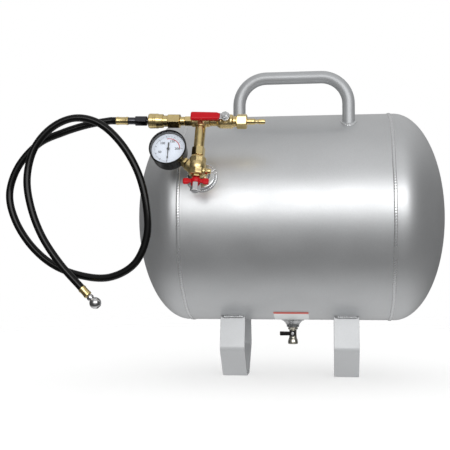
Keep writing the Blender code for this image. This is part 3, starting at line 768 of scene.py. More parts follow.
# ---- Tank ----
TANK_PLACE = Matrix.Translation((0, TANK.y, TANK.z))
LIP = 0.0008  # the small chamfer on a plate's edge
HEAD_SKIRT = 0.006
HEAD_GAP = 0.0003  # between the barrel and a head
HEAD_TIP = 0.0006  # radius of the tiny flat in the middle of a head
left_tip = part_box("left_head")[0].x
HEAD_RISE = -left_tip - SEAM_X - HEAD_GAP - HEAD_SKIRT


def make_barrel():
    rings = [
        (-SEAM_X, RADIUS - WALL),
        (-SEAM_X, RADIUS - LIP),
        (-SEAM_X + LIP, RADIUS),
        *[(SEAM_X * share, RADIUS) for share in (-0.66, -0.33, 0, 0.33, 0.66)],
        (SEAM_X - LIP, RADIUS),
        (SEAM_X, RADIUS - LIP),
        (SEAM_X, RADIUS - WALL),
    ]
    shell = turned("barrel_shell", rings, TANK_PLACE @ AIM["+X"], sides=192, soft=0, closed=True)
    fitted(shell, "tank", "silver_paint", SILVER, "tank_barrel")


def make_head(side, node, aim):
    """An elliptical dished head with a short straight skirt."""
    steps = 30
    turn = [pi / 2 * i / steps for i in range(steps)]
    inner = RADIUS - WALL
    dish = [(HEAD_SKIRT + (HEAD_RISE - WALL) * cos(a), max(inner * sin(a), HEAD_TIP)) for a in turn]
    crown = [(HEAD_SKIRT + HEAD_RISE * sin(a), RADIUS * cos(a)) for a in turn]
    rings = [
        *dish,
        (HEAD_SKIRT, inner),
        (0, inner),
        (0, RADIUS - LIP),
        (LIP, RADIUS),
        *crown,
        (HEAD_SKIRT + HEAD_RISE, HEAD_TIP),
    ]
    place = TANK_PLACE @ Matrix.Translation((side * (SEAM_X + HEAD_GAP), 0, 0)) @ AIM[aim]
    head = turned(node + "_shell", rings, place, sides=192, soft=0)
    fitted(head, "tank", "silver_paint", SILVER, node)


def make_tank_welds():
    for side, name in ((-1, "left_seam_weld"), (1, "right_seam_weld")):
        place = TANK_PLACE @ Matrix.Translation((side * SEAM_X, 0, 0)) @ AIM["+X"]
        bead = weld_ring(name, place, RADIUS, out=0.0011, along=0.0026, ripples=250, steps=1000)
        fitted(bead, "tank", "silver_paint", WELD)
    low_back = radians(-35)  # the barrel's own seam is turned to the lower back
    y = TANK.y + RADIUS * cos(low_back)
    z = TANK.z + RADIUS * sin(low_back)
    seam = weld_line("barrel_seam_weld", (-SEAM_X, y, z), (SEAM_X, y, z), radius=0.0016, ripples=80)
    fitted(seam, "tank", "silver_paint", WELD)


# ---- Feet and handle ----
FOOT_THICKNESS = 0.004
FOOT_FOLD = 0.0052  # how far a fold is rounded back from its corner
FOOT_WELD_Y = 0.0500  # each foot is welded this far in front of and behind the axis
FOOT_WELD_Z = 0.0962
FOOT_OUTLINE = [
    (-0.0485, 0.0990),
    (-0.0606, 0.0455),
    (-0.0200, 0.0),
    (0.0200, 0.0),
    (0.0606, 0.0455),
    (0.0485, 0.0990),
]


def make_foot(node):
    """A strap bent to a trough with sloping lower sides, with rounded folds and edges."""
    low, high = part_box(node)
    bm = bmesh.new()
    verts = [bm.verts.new((low.x, TANK.y + y, z)) for y, z in FOOT_OUTLINE]
    for pair in zip(verts, verts[1:]):
        bm.edges.new(pair)
    bevelled(bm, verts[1:-1], FOOT_FOLD, 6, "VERTICES")
    swept = bmesh.ops.extrude_edge_only(bm, edges=bm.edges[:])["geom"]
    bmesh.ops.translate(bm, verts=verts_of(swept), vec=(high.x - low.x, 0, 0))
    bmesh.ops.recalc_face_normals(bm, faces=bm.faces)
    if sum(face.normal.z for face in bm.faces) > 0:
        bmesh.ops.reverse_faces(bm, faces=bm.faces)
    bmesh.ops.solidify(bm, geom=bm.faces[:], thickness=FOOT_THICKNESS)
    soften(bm, 0.0007, 50, 3)
    fitted(finished(node + "_strap", bm), "tank", "silver_paint", LIT_FOOT_SILVER, node)
    for side, name in ((-1, "front"), (1, "back")):
        start = (low.x + 0.0015, TANK.y + side * FOOT_WELD_Y, FOOT_WELD_Z)
        end = (high.x - 0.0015, TANK.y + side * FOOT_WELD_Y, FOOT_WELD_Z)
        bead = weld_line(f"{node}_{name}_weld", start, end, radius=0.0025, ripples=11)
        fitted(bead, "tank", "silver_paint", WELD)


def surface_height(y):
    """How high the tank's top is at y, from the floor."""
    return TANK.z + sqrt(RADIUS**2 - (y - TANK.y) ** 2)


def make_handle():
    low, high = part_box("handle")
    y = (low.y + high.y) / 2
    radius = (high.y - low.y) / 2
    left, right, top = low.x + radius, high.x - radius, high.z - radius
    bend = 0.042  # radius of the bends along the tube's middle
    bm = bmesh.new()
    foot = Matrix.Translation((left, y, low.z))
    ring = bmesh.ops.create_circle(bm, segments=40, radius=radius, matrix=foot)["verts"]
    start = list(ring)
    edges = bm.edges[:]
    bmesh.ops.edgeloop_fill(bm, edges=edges)

    def straight(edges, vec):
        swept = bmesh.ops.extrude_edge_only(bm, edges=edges)["geom"]
        verts = verts_of(swept)
        bmesh.ops.translate(bm, verts=verts, vec=vec)
        return [edge for edge in edges_of(swept) if set(edge.verts) <= set(verts)], verts

    def bent(edges, verts, centre):
        swept = bmesh.ops.spin(
            bm, geom=verts + edges, cent=centre, axis=(0, 1, 0), angle=pi / 2, steps=18, use_merge=False
        )["geom_last"]
        return edges_of(swept), verts_of(swept)

    leg = top - bend - low.z
    edges, verts = straight(edges, (0, 0, leg))
    edges, verts = bent(edges, verts, (left + bend, y, top - bend))
    edges, verts = straight(edges, (right - left - 2 * bend, 0, 0))
    edges, verts = bent(edges, verts, (right - bend, y, top - bend))
    edges, end = straight(edges, (0, 0, -leg))
    bmesh.ops.edgeloop_fill(bm, edges=edges)
    for vert in start + end:
        vert.co.z = surface_height(vert.co.y) - 0.0015
    fitted(finished("handle_tube", bm), "tank", "silver_paint", SHADED_HANDLE_SILVER, "handle")
    for x, name in ((left, "left"), (right, "right")):
        place = Matrix.Translation((x, y, 0))
        bead = weld_ring(
            f"handle_{name}_weld",
            place,
            radius + 0.0006,
            out=0.0026,
            along=0.0022,
            ripples=26,
            steps=130,
            fall=lambda across, back: surface_height(y + back),
        )
        fitted(bead, "tank", "silver_paint", WELD)


# ---- Port and manifold ----
def make_port():
    rings = [
        (0.0385, 0.0074),
        (0.0362, 0.0078),
        (0.0362, 0.0108),
        (0.0375, 0.0118),
        (0.0388, 0.0135),
        (0.0390, 0.0182),
        (0.0396, 0.0197),
        (0.0410, 0.0206),
        (0.0430, 0.0210),
        (0.0480, 0.0210),
    ]
    flange = turned("port_flange_ring", rings, MANIFOLD @ AIM["+Y"], sides=72)
    fitted(flange, "tank", "zinc_steel", ZINC, "port_flange")
    reach = 0.045
    bead = weld_ring(
        "port_weld",
        MANIFOLD @ AIM["+Y"],
        0.0216,
        0.0020,
        0.0018,
        46,
        230,
        lambda across, down: reach + RADIUS - sqrt(RADIUS**2 - down**2),
    )
    fitted(bead, "tank", "silver_paint", WELD)


GAUGE_AT = MANIFOLD.inverted() @ GAUGE.translation
GAUGE_PORT = Vector((0, 0, -0.010))
GAUGE_LEAN = (GAUGE_AT - GAUGE_PORT).to_track_quat("Z", "Y").to_matrix().to_4x4()


def make_manifold_body():
    bm = bmesh.new()
    add_bar(bm, [(-0.0176, 0.0098), (-0.0166, 0.0116), (0.0085, 0.0124), (0.0119, 0.0098)], sides=8)
    add_ball(bm, 0.0126, Matrix.Translation((0, 0, -0.004)))
    add_bar(bm, [(0, 0.0098), (0.0150, 0.0098), (0.0160, 0.0088)], AIM["+Y"], 32)
    port = Matrix.Translation(GAUGE_PORT) @ GAUGE_LEAN
    add_bar(bm, [(0, 0.0094), (0.0165, 0.0088), (0.0185, 0.0078)], port, 32)
    add_bar(bm, [(0, 0.0056), (0.0120, 0.0056), (0.0126, 0.0050)], Matrix.Translation((0, 0, -0.011)) @ AIM["+X"], 32)
    body = melted("manifold_forging", bm, MANIFOLD, 0.00042, 5)
    fitted(body, "tank", "brass", CAST_BRASS, "manifold_body")


def make_shutoff():
    bonnet = [*hexagon(-0.0207, -0.0179, 0.0135)]
    fitted(turned("shutoff_bonnet_nut", bonnet, MANIFOLD, turn=0.2), "tank", "brass", BRASS, "shutoff_bonnet")
    bm = bmesh.new()
    hub = [
        (-0.0292, 0.0048),
        (-0.0286, 0.0060),
        (-0.0250, 0.0066),
        (-0.0225, 0.0062),
        (-0.0212, 0.0050),
    ]
    add_bar(bm, hub, sides=32)
    for side in (-1, 1):
        tilt = Matrix.Rotation(side * radians(5), 4, "Y")
        add_block(bm, (0.0120, 0.0046, 0.0058), Matrix.Translation((side * 0.0075, 0, -0.0258)) @ tilt, 0.0016)
        paddle = Matrix.Translation((side * 0.0140, 0, -0.0264)) @ tilt
        add_block(bm, (0.0092, 0.0058, 0.0088), paddle, 0.0024, 4)
    wings = melted("shutoff_wing_handle", bm, MANIFOLD, 0.0003, 5)
    fitted(wings, "shutoff_handle", "red_vinyl", RED, "shutoff_wings")
    nut = [*hexagon(-0.0418, -0.0294, 0.0122)]
    nut[0:1] = [(-0.0432, 0.0034), (-0.0429, 0.0044), (-0.0419, 0.0052)]
    fitted(turned("shutoff_cap_nut", nut, MANIFOLD, turn=0.1), "shutoff_handle", "chrome", CHROME, "shutoff_nut")


RELIEF = MANIFOLD @ Matrix.Translation((0, 0, -0.011))


def make_relief_valve():
    place = RELIEF @ AIM["+X"]
    rings = [*hexagon(0.0128, 0.0160, 0.0085), (0.0160, 0.0037), (0.0200, 0.0037), (0.0205, 0.0031), (0.0205, 0.0014)]
    fitted(turned("relief_cap", rings, place, 36), "tank", "brass", BRASS, "relief_valve")
    bm = bmesh.new()
    add_bar(bm, [(0.0150, 0.0008), (0.0150, 0.0010), (0.0232, 0.0010), (0.0232, 0.0008)], AIM["+X"], 16)
    loop = bmesh.ops.create_circle(bm, segments=12, radius=0.0007)["verts"]
    upright = Matrix.Translation((0.0028, 0, 0)) @ Matrix.Rotation(pi / 2, 4, "X")
    bmesh.ops.transform(bm, matrix=upright, verts=loop)
    edges = list({edge for vert in loop for edge in vert.link_edges})
    bmesh.ops.spin(
        bm, geom=loop + edges, cent=(0, 0, 0), axis=(0, 0, 1), angle=2 * pi, steps=40, use_merge=True
    )
    bmesh.ops.remove_doubles(bm, verts=bm.verts, dist=1e-6)
    eye = [v for v in bm.verts if hypot(v.co.x, v.co.y) < 0.0040 and abs(v.co.z) < 0.0008 and v.co.x < 0.0040]
    bmesh.ops.transform(bm, matrix=Matrix.Translation((0.0258, 0, 0)) @ AIM["-Y"], verts=eye)
    ring = finished("relief_ring", bm, RELIEF, even=False)
    fitted(ring, "relief_pull", "chrome", CHROME, "relief_pull_ring")


def make_riser():
    nut = turned("riser_union_nut", [*hexagon(0.0123, 0.0258, 0.0172)], MANIFOLD, turn=0.35)
    fitted(nut, "tank", "brass", BRASS, "riser_nut")
    top = RUN_HEIGHT - 0.0105
    pipe = [(0.0261, 0.0045), (0.0261, 0.0072), (0.0266, 0.0076), (top - 0.0006, 0.0076), (top, 0.0072), (top, 0.0045)]
    fitted(turned("riser_tube", pipe, MANIFOLD, closed=True), "tank", "brass", BRASS, "riser_pipe")
    bm = bmesh.new()
    add_bar(bm, [(-0.0130, 0.0076), (-0.0124, 0.0084), (0.0124, 0.0084), (0.0130, 0.0076)], AIM["+X"], 32)
    add_bar(bm, [(-0.0102, 0.0074), (-0.0096, 0.0081), (0, 0.0081)], sides=32)
    fitted(melted("run_tee_forging", bm, RUN, 0.0004, 4), "tank", "brass", CAST_BRASS, "run_tee")


# ---- Quick coupler and hose plug ----
def make_coupler():
    left = RUN @ AIM["-X"]
    nipple = [*hexagon(0.0133, 0.0235, 0.0135), (0.0235, 0.0058), (0.0242, 0.0064), (0.0302, 0.0064)]
    fitted(turned("coupler_nipple_bar", nipple, left, turn=0.15), "tank", "brass", BRASS, "coupler_nipple")
    body = [
        *hexagon(0.0305, 0.0488, 0.0192),
        (0.0490, 0.0082),
        (0.0740, 0.0082),
        (0.0745, 0.0078),
        (0.0745, 0.0066),
        (0.0540, 0.0064),
    ]
    fitted(turned("coupler_socket", body, left), "tank", "brass", BRASS, "coupler_body")
    sleeve = [
        (0.0557, 0.0086),
        (0.0557, 0.0097),
        (0.0562, 0.0101),
        (0.0622, 0.0101),
        (0.0636, 0.0108),
        (0.0664, 0.0108),
        (0.0667, 0.0105),
        (0.0673, 0.0105),
        (0.0676, 0.0108),
        (0.0692, 0.0108),
        (0.0695, 0.0105),
        (0.0701, 0.0105),
        (0.0704, 0.0108),
        (0.0756, 0.0108),
        (0.0770, 0.0099),
        (0.0770, 0.0086),
    ]
    ring = turned("coupler_release_ring", sleeve, left, 64, 0.00012, closed=True)
    fitted(ring, "coupler_ring", "brass", BRASS, "coupler_sleeve")


def make_hose_plug():
    left = RUN @ AIM["-X"]
    plug = [
        (0.0560, 0.0026),
        (0.0530, 0.0027),
        (0.0530, 0.0034),
        (0.0540, 0.0038),
        (0.0600, 0.0038),
        (0.0620, 0.0046),
        (0.0798, 0.0046),
        *hexagon(0.0802, 0.0972, 0.0136),
        (0.0976, 0.0048),
        (0.0986, 0.0052),
        (0.1076, 0.0052),
    ]
    piece = turned("hose_plug_bar", plug, left)
    fitted(piece, "tank", "chrome", DARK_REFLECTION_CHROME, "hose_plug")
    crimp = [
        (0.1079, 0.0044),
        (0.1079, 0.0056),
        (0.1084, 0.0060),
        (0.1108, 0.0060),
        (0.1116, 0.0056),
        (0.1222, 0.0056),
        (0.1230, 0.0060),
        (0.1254, 0.0060),
        (0.1260, 0.0057),
        (0.1260, 0.0046),
    ]
    collar = turned("hose_crimp", crimp, left, 40)
    fitted(collar, "tank", "brass", BRASS, "hose_ferrule")
    return piece, collar


# ---- Fill valve and plug ----
def make_fill_valve():
    bm = bmesh.new()
    bar = [
        (0.0133, 0.0060),
        (0.0138, 0.0068),
        (0.0235, 0.0070),
        (0.0262, 0.0092),
        (0.0290, 0.0102),
        (0.0455, 0.0102),
        (0.0472, 0.0084),
        (0.0480, 0.0077),
        (0.0515, 0.0077),
        (0.0520, 0.0070),
    ]
    add_bar(bm, bar, AIM["+X"], 40)
    stem = Matrix.Translation((0.037, 0, 0)) @ AIM["-Y"]
    add_bar(bm, [(0, 0.0068), (0.0104, 0.0068), (0.0112, 0.0058), (0.0125, 0.0058)], stem, 32)
    fitted(melted("fill_valve_forging", bm, RUN, 0.0004, 4), "tank", "brass", CAST_BRASS, "fill_valve_body")

    bm = bmesh.new()
    add_bar(bm, [(0.0150, 0.0064), (0.0150, 0.0068), (0.0170, 0.0068), (0.0170, 0.0064)], AIM["-Y"], 40)
    add_block(bm, (0.0360, 0.0020, 0.0090), Matrix.Translation((-0.0180, -0.0160, 0)), 0.0004, 2)
    plate = melted("fill_lever_plate", bm, FILL_TURN, 0.00033, 2)
    fitted(plate, "fill_lever", "zinc_steel", ZINC, "fill_valve_lever")

    bm = bmesh.new()
    add_block(bm, (0.0405, 0.0064, 0.0124), Matrix.Translation((-0.0298, -0.0160, 0)), 0.0026, 5)
    add_block(bm, (0.0060, 0.0050, 0.0104), Matrix.Translation((-0.0102, -0.0160, 0)), 0.0020, 4)
    for vert in bm.verts:
        share = (-vert.co.x - 0.0085) / 0.0415
        vert.co.z *= 0.90 + 0.14 * share
    grip = melted("fill_lever_grip", bm, FILL_TURN, 0.0004, 4)
    fitted(grip, "fill_lever", "red_vinyl", RED, "fill_valve_grip")
    nut = turned("fill_lever_nut", [*hexagon(0.0173, 0.0213, 0.0095)], FILL_TURN @ AIM["-Y"], turn=0.3)
    fitted(nut, "fill_lever", "zinc_steel", ZINC, "fill_valve_nut")


def make_fill_plug():
    right = RUN @ AIM["+X"]
    adapter = turned("fill_adapter_hex", [*hexagon(0.0523, 0.0670, 0.0190)], right, turn=0.25)
    fitted(adapter, "tank", "brass", BRASS, "fill_adapter")
    plug = [
        (0.0673, 0.0036),
        (0.0673, 0.0044),
        (0.0776, 0.0044),
        (0.0796, 0.0031),
        (0.0830, 0.0031),
        (0.0845, 0.0038),
        (0.0912, 0.0038),
        (0.0930, 0.0031),
        (0.0930, 0.0024),
        (0.0880, 0.0022),
    ]
    fitted(turned("fill_plug_nose", plug, right, 40, 0.00015), "tank", "brass", BRASS, "fill_plug")


# ---- Gauge ----
GAUGE_FRONT = GAUGE @ AIM["-Y"]
SCALE_SWEEP = radians(265)
SCALE_ZERO = radians(-92)  # straight down, and a little past it
SCALE_TOP = 200
RED_FROM = 125


def scale_angle(value):
    return SCALE_ZERO - SCALE_SWEEP * value / SCALE_TOP


def make_gauge_body():
    case = [
        (-0.0125, 0.0225),
        (-0.0122, 0.0240),
        (-0.0110, 0.0252),
        (-0.0095, 0.0258),
        (0.0103, 0.0258),
        (0.0103, 0.0249),
        (-0.0095, 0.0249),
        (-0.0112, 0.0230),
    ]
    shell = turned("gauge_case_shell", case, GAUGE_FRONT, 96)
    fitted(shell, "tank", "black_plastic", BLACK, "gauge_case")
    rim = [
        (0.0108, 0.0248),
        (0.0124, 0.0248),
        (0.0144, 0.0252),
        (0.0148, 0.0258),
        (0.0146, 0.0265),
        (0.0138, 0.0270),
        (0.0080, 0.0270),
        (0.0074, 0.0268),
        (0.0074, 0.0261),
        (0.0108, 0.0261),
    ]
    ring = turned("gauge_bezel_ring", rim, GAUGE_FRONT, 96, 0.00015, closed=True)
    fitted(ring, "tank", "black_plastic", BLACK, "gauge_bezel")
    lean = GAUGE @ (GAUGE_LEAN.copy() @ AIM["-Z"])
    reach = (GAUGE_AT - GAUGE_PORT).length - 0.0190
    stem = [(0.0200, 0.0036), (0.0200, 0.0040), (0.0284, 0.0040), *hexagon(0.0285, reach, 0.0136)]
    fitted(turned("gauge_stem_bar", stem, lean, turn=0.4), "tank", "brass", BRASS, "gauge_stem")


def dial_slab(bm, angle, inner, outer, width, lift=0.00615):
    """A thin raised mark on the dial, along its radius."""
    place = Matrix.Rotation(angle, 4, "Z") @ Matrix.Translation(((inner + outer) / 2, 0, lift))
    bmesh.ops.create_cube(bm, size=1.0, matrix=place @ Matrix.Diagonal((outer - inner, width, 0.00018, 1)))


def on_dial(bm):
    """Turns marks drawn with X right and Y up, and Z out of the dial, to the gauge's front."""
    flip = Matrix.Rotation(pi / 2, 4, "X")
    bmesh.ops.transform(bm, matrix=GAUGE @ flip, verts=bm.verts)


def make_dial_marks():
    bm = bmesh.new()
    for value in range(0, SCALE_TOP + 1, 5):
        long = value % 25 == 0
        inner = 0.0176 if long else 0.0188
        dial_slab(bm, scale_angle(value), inner, 0.0206, 0.00062 if long else 0.00028)
    on_dial(bm)
    fitted(finished("dial_ticks", bm, even=False), "tank", "black_plastic", BLACK_INK)

    bm = bmesh.new()
    first = bm.verts.new((0.0158, 0, 0.0061))
    second = bm.verts.new((0.0171, 0, 0.0061))
    edge = bm.edges.new((first, second))
    bmesh.ops.rotate(bm, verts=[first, second], cent=(0, 0, 0), matrix=Matrix.Rotation(scale_angle(RED_FROM), 3, "Z"))
    sweep = scale_angle(SCALE_TOP) - scale_angle(RED_FROM)
    bmesh.ops.spin(
        bm, geom=[first, second, edge], cent=(0, 0, 0), axis=(0, 0, 1), angle=sweep, steps=36, use_merge=False
    )
    bmesh.ops.recalc_face_normals(bm, faces=bm.faces)
    bmesh.ops.solidify(bm, geom=bm.faces[:], thickness=0.00015)
    on_dial(bm)
    fitted(finished("dial_red_arc", bm, even=False), "tank", "red_vinyl", RED_INK)

    bm = bmesh.new()
    for value in range(0, SCALE_TOP + 1, 50):
        text = bpy.data.curves.new("numeral", "FONT")
        text.body = str(value)
        text.size = 0.0050
        text.offset = 0.00008
        text.extrude = 0.00008
        text.align_x = "CENTER"
        text.align_y = "CENTER"
        lettering = bpy.data.objects.new("numeral", text)
        scene.collection.objects.link(lettering)
        bpy.context.view_layer.update()
        graph = bpy.context.evaluated_depsgraph_get()
        mesh = bpy.data.meshes.new_from_object(lettering.evaluated_get(graph))
        bpy.data.objects.remove(lettering)
        angle = scale_angle(value)
        mesh.transform(Matrix.Translation((0.0130 * cos(angle), 0.0130 * sin(angle), 0.00616)))
        bm.from_mesh(mesh)
        bpy.data.meshes.remove(mesh)
    on_dial(bm)
    fitted(finished("dial_numerals", bm, even=False), "tank", "black_plastic", BLACK_INK)


def make_needle():
    """The pointer hangs at zero, straight down, with a wide tail above its hub."""
    bm = bmesh.new()
    add_bar(bm, [(0.0072, 0.0019), (0.0072, 0.0021), (0.0084, 0.0021), (0.0087, 0.0017)], AIM["-Y"], 32)
    point = Matrix.Translation((0, -0.0078, -0.0095)) @ Matrix.Diagonal((0.0018, 0.0005, 0.0190, 1))
    tip = bmesh.ops.create_cube(bm, size=1.0, matrix=point)
    back = Matrix.Translation((0, -0.0078, 0.0050)) @ Matrix.Diagonal((0.0022, 0.0005, 0.0096, 1))
    tail = bmesh.ops.create_cube(bm, size=1.0, matrix=back)
    for vert in tip["verts"]:
        if vert.co.z < -0.01:
            vert.co.x *= 0.22
    for vert in tail["verts"]:
        if vert.co.z < 0.003:
            vert.co.x *= 0.65
    fitted(finished("needle_pointer", bm, GAUGE, even=False), "pointer", "black_plastic", BLACK_INK, "gauge_needle")


# ---- Drain ----
def make_drain():
    top = TANK.z - RADIUS
    bung = [
        (top - 0.0120, 0.0062),
        (top - 0.0120, 0.0095),
        (top - 0.0114, 0.0099),
        (top - 0.0090, 0.0101),
        (top - 0.0070, 0.0110),
        (top - 0.0045, 0.0128),
        (top - 0.0018, 0.0155),
        (top - 0.0006, 0.0163),
        (top + 0.0012, 0.0165),
    ]
    fitted(turned("drain_bung_boss", bung, DRAIN, 64), "tank", "zinc_steel", ZINC, "drain_bung")
    bead = weld_ring(
        "drain_weld",
        DRAIN,
        0.0168,
        0.0016,
        0.0014,
        34,
        170,
        lambda across, back: TANK.z - sqrt(RADIUS**2 - back**2),
    )
    fitted(bead, "tank", "silver_paint", WELD)
    low = top - 0.0123
    bm = bmesh.new()
    add_bar(bm, [*hexagon(low - 0.0040, low, 0.0138)], sides=48)
    body = [
        (0.0545, 0.0030),
        (0.0502, 0.0032),
        (0.0500, 0.0068),
        (0.0508, 0.0078),
        (0.0535, 0.0080),
        (0.0570, 0.0074),
        (0.0600, 0.0062),
        (0.0640, 0.0058),
        (low - 0.0010, 0.0058),
    ]
    add_bar(bm, body, sides=40)
    boss = Matrix.Translation((0, 0, DRAIN_TURN.translation.z)) @ AIM["-Y"]
    add_bar(bm, [(0, 0.0046), (0.0084, 0.0046), (0.0090, 0.0040)], boss, 32)
    valve = melted("drain_valve_forging", bm, DRAIN, 0.0003, 2)
    fitted(valve, "tank", "zinc_steel", NICKEL, "drain_valve_body")

    bm = bmesh.new()
    add_bar(bm, [(0.0096, 0.0044), (0.0096, 0.0050), (0.0128, 0.0050), (0.0134, 0.0044)], AIM["-Y"], 32)
    add_block(bm, (0.0190, 0.0036, 0.0062), Matrix.Translation((-0.0110, -0.0114, 0)), 0.0012, 3)
    for vert in bm.verts:
        if vert.co.x < -0.006:
            vert.co.z *= 1.12 - 0.35 * abs(vert.co.x + 0.0205) / 0.0145
    lever = melted("drain_lever_skin", bm, DRAIN_TURN, 0.00025, 3)
    fitted(lever, "drain_handle", "black_plastic", BLACK, "drain_lever")
    screw = [(0.0136, 0.0024), (0.0136, 0.0028), (0.0150, 0.0028), (0.0155, 0.0020)]
    head = turned("drain_screw_head", screw, DRAIN_TURN @ AIM["-Y"], 32)
    fitted(head, "drain_handle", "chrome", CHROME, "drain_lever_screw")


def make_label():
    """A blank film label low on the front, with a red band along its top edge."""

    def patch(name, from_angle, to_angle, half_width, lift, slot, finish):
        bm = bmesh.new()
        verts = bmesh.ops.create_grid(bm, x_segments=4, y_segments=24, size=1.0)["verts"]
        for vert in verts:
            share = (vert.co.y + 1) / 2
            angle = from_angle + (to_angle - from_angle) * share
            reach = RADIUS + lift
            across = vert.co.x * half_width
            vert.co = (DRAIN.translation.x + across, TANK.y - reach * cos(angle), TANK.z - reach * sin(angle))
        bmesh.ops.recalc_face_normals(bm, faces=bm.faces)
        if bm.faces[:][0].normal.z > 0:
            bmesh.ops.reverse_faces(bm, faces=bm.faces)
        bmesh.ops.solidify(bm, geom=bm.faces[:], thickness=0.00012)
        fitted(finished(name, bm, even=False), "tank", slot, finish)

    patch("blank_label", radians(66), radians(83.5), 0.0270, 0.00025, "dial_white", LABEL_WHITE)
    patch("blank_label_band", radians(65.2), radians(67.6), 0.0270, 0.00045, "red_vinyl", LABEL_RED)


# ---- Hose and chuck ----
def make_hose():
    curve = bpy.data.curves.new("whip_hose", "CURVE")
    curve.dimensions = "3D"
    curve.bevel_depth = HOSE_RADIUS
    curve.bevel_resolution = 7
    curve.use_fill_caps = True
    points = smooth_path(hose_guide, 320)
    spline = curve.splines.new("POLY")
    spline.points.add(len(points) - 1)
    for point, place in zip(spline.points, points):
        point.co = (*place, 1.0)
    hose = bpy.data.objects.new("whip_hose", curve)
    scene.collection.objects.link(hose)
    return fitted(hose, "tank", "hose_rubber", RUBBER, "hose")


def make_chuck():
    crimp = [
        (0.0003, 0.0046),
        (0.0003, 0.0056),
        (0.0009, 0.0060),
        (0.0032, 0.0060),
        (0.0040, 0.0056),
        (0.0112, 0.0056),
        (0.0120, 0.0060),
        (0.0144, 0.0060),
        (0.0150, 0.0054),
    ]
    collar = fitted(turned("chuck_crimp", crimp, CHUCK, 40), "tank", "brass", BRASS, "chuck_ferrule")
    middle, radius = 0.0297, 0.0083
    ball = [(middle - radius * cos(a), radius * sin(a)) for a in [pi * i / 36 for i in range(6, 31)]]
    rings = [
        (0.0153, 0.0030),
        (0.0153, 0.0038),
        (0.0160, 0.0043),
        (0.0178, 0.0050),
        (0.0200, 0.0051),
        (0.0212, 0.0047),
        (0.0222, 0.0043),
        *ball,
        (middle + 0.0074, 0.0041),
        (middle + 0.0060, 0.0041),
    ]
    head = fitted(turned("ball_chuck", rings, CHUCK, 56, 0), "tank", "chrome", CHROME, "chuck")
    return collar, head


make_barrel()
make_head(-1, "left_head", "-X")
make_head(1, "right_head", "+X")
make_tank_welds()
make_foot("left_foot")
make_foot("right_foot")
make_handle()
make_port()
make_manifold_body()
make_shutoff()
make_relief_valve()
make_riser()
make_coupler()
plug_piece, plug_collar = make_hose_plug()
make_fill_valve()
make_fill_plug()
make_gauge_body()
make_dial_marks()
make_needle()
make_drain()
make_label()
hose_piece = make_hose()
chuck_collar, chuck_head = make_chuck()

# CAD nodes that show as they are
for node, finish in (
    ("tank_nipple", BRASS),
    ("shutoff_stem", ZINC),
    ("coupler_seal", SEAL),
    ("fill_valve_stem", ZINC),
    ("fill_valve_ball", CHROME),
    ("gauge_movement", BRASS),
    ("gauge_dial", DIAL),
    ("gauge_lens", WINDOW),
    ("drain_valve_stem", ZINC),
    ("drain_valve_ball", CHROME),
    ("chuck_seal", SEAL),
):
    frame["nodes"][node].data.materials.clear()
    frame["nodes"][node].data.materials.append(finish)

# ---- Floor, backdrop and lights ----
bm = bmesh.new()
bmesh.ops.create_circle(bm, cap_ends=True, segments=96, radius=2.4)
floor = finished("studio_floor", bm, even=False)
floor.data.materials.append(studio_floor("pale_floor"))
floor.visible_glossy = False


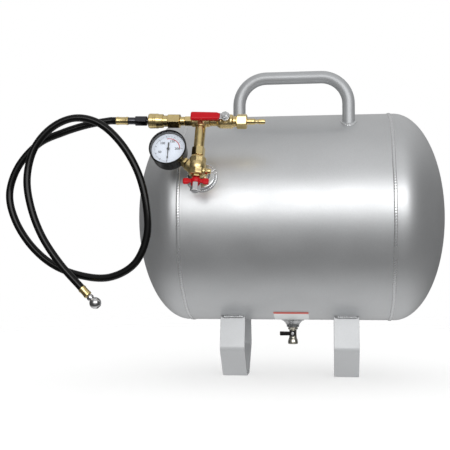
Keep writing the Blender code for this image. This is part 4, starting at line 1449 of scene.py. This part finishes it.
def studio_world():
    """A white surround. Shiny surfaces see a studio: a soft front light, a paler top and table, and dark sides."""
    world = bpy.data.worlds.new("studio")
    world.use_nodes = True
    nodes = world.node_tree.nodes
    links = world.node_tree.links
    nodes.clear()

    output = nodes.new("ShaderNodeOutputWorld")
    output.label = "studio out"
    place = nodes.new("ShaderNodeTexCoord")
    place.label = "direction"
    path = nodes.new("ShaderNodeLightPath")
    path.label = "mirrored in the object"
    backdrop = nodes.new("ShaderNodeBackground")
    backdrop.label = "white backdrop"
    studio = nodes.new("ShaderNodeBackground")
    studio.label = "studio light"
    choose = nodes.new("ShaderNodeMixShader")
    choose.label = "backdrop or studio"

    front = nodes.new("ShaderNodeVectorMath")
    front.label = "towards the front light"
    front_share = nodes.new("ShaderNodeMapRange")
    front_share.label = "front light"
    top = nodes.new("ShaderNodeVectorMath")
    top.label = "towards the ceiling"
    top_share = nodes.new("ShaderNodeMapRange")
    top_share.label = "ceiling light"
    below = nodes.new("ShaderNodeVectorMath")
    below.label = "towards the table"
    below_share = nodes.new("ShaderNodeMapRange")
    below_share.label = "table light"
    front_and_top = nodes.new("ShaderNodeMath")
    front_and_top.label = "front and ceiling"
    total = nodes.new("ShaderNodeMath")
    total.label = "all the light"

    backdrop.inputs["Color"].default_value = (1, 1, 1, 1)
    backdrop.inputs["Strength"].default_value = 1.0
    studio.inputs["Color"].default_value = (1, 1, 1, 1)
    front.operation = "DOT_PRODUCT"
    front.inputs[1].default_value = Vector((0.22, -0.88, 0.42)).normalized()
    front_share.interpolation_type = "SMOOTHSTEP"
    front_share.inputs["From Min"].default_value = 0.45
    front_share.inputs["From Max"].default_value = 1.0
    front_share.inputs["To Min"].default_value = 0.07
    front_share.inputs["To Max"].default_value = 0.58
    top.operation = "DOT_PRODUCT"
    top.inputs[1].default_value = Vector((0.0, 0.35, 0.94)).normalized()
    top_share.interpolation_type = "SMOOTHSTEP"
    top_share.inputs["From Min"].default_value = 0.3
    top_share.inputs["From Max"].default_value = 0.9
    top_share.inputs["To Max"].default_value = 0.46
    below.operation = "DOT_PRODUCT"
    below.inputs[1].default_value = Vector((0.0, 0.45, -0.90)).normalized()
    below_share.interpolation_type = "SMOOTHSTEP"
    below_share.inputs["From Min"].default_value = 0.45
    below_share.inputs["From Max"].default_value = 0.95
    below_share.inputs["To Max"].default_value = 0.58
    front_and_top.operation = "ADD"
    total.operation = "ADD"

    links.new(place.outputs["Generated"], front.inputs[0])
    links.new(place.outputs["Generated"], top.inputs[0])
    links.new(place.outputs["Generated"], below.inputs[0])
    links.new(front.outputs["Value"], front_share.inputs["Value"])
    links.new(top.outputs["Value"], top_share.inputs["Value"])
    links.new(below.outputs["Value"], below_share.inputs["Value"])
    links.new(front_share.outputs["Result"], front_and_top.inputs[0])
    links.new(top_share.outputs["Result"], front_and_top.inputs[1])
    links.new(front_and_top.outputs["Value"], total.inputs[0])
    links.new(below_share.outputs["Result"], total.inputs[1])
    links.new(total.outputs["Value"], studio.inputs["Strength"])
    links.new(path.outputs["Is Glossy Ray"], choose.inputs["Fac"])
    links.new(backdrop.outputs["Background"], choose.inputs[1])
    links.new(studio.outputs["Background"], choose.inputs[2])
    links.new(choose.outputs["Shader"], output.inputs["Surface"])
    spread_out(nodes)
    return world


def softbox(name, place, target, width, height, power, glossy=True):
    light = bpy.data.lights.new(name, "AREA")
    light.shape = "RECTANGLE"
    light.size = width
    light.size_y = height
    light.energy = power
    made = bpy.data.objects.new(name, light)
    made.location = place
    made.rotation_euler = (Vector(target) - Vector(place)).to_track_quat("-Z", "Y").to_euler()
    made.visible_glossy = glossy
    scene.collection.objects.link(made)
    return made


scene.world = studio_world()
scene.view_settings.view_transform = "Standard"
softbox("key_softbox", (0.40, -2.0, 0.84), (0, -0.1, 0.3), 2.4, 0.86, 19)
softbox("ceiling_softbox", (0, 0.1, 2.4), (0, 0, 0), 2.4, 2.0, 8, glossy=False)
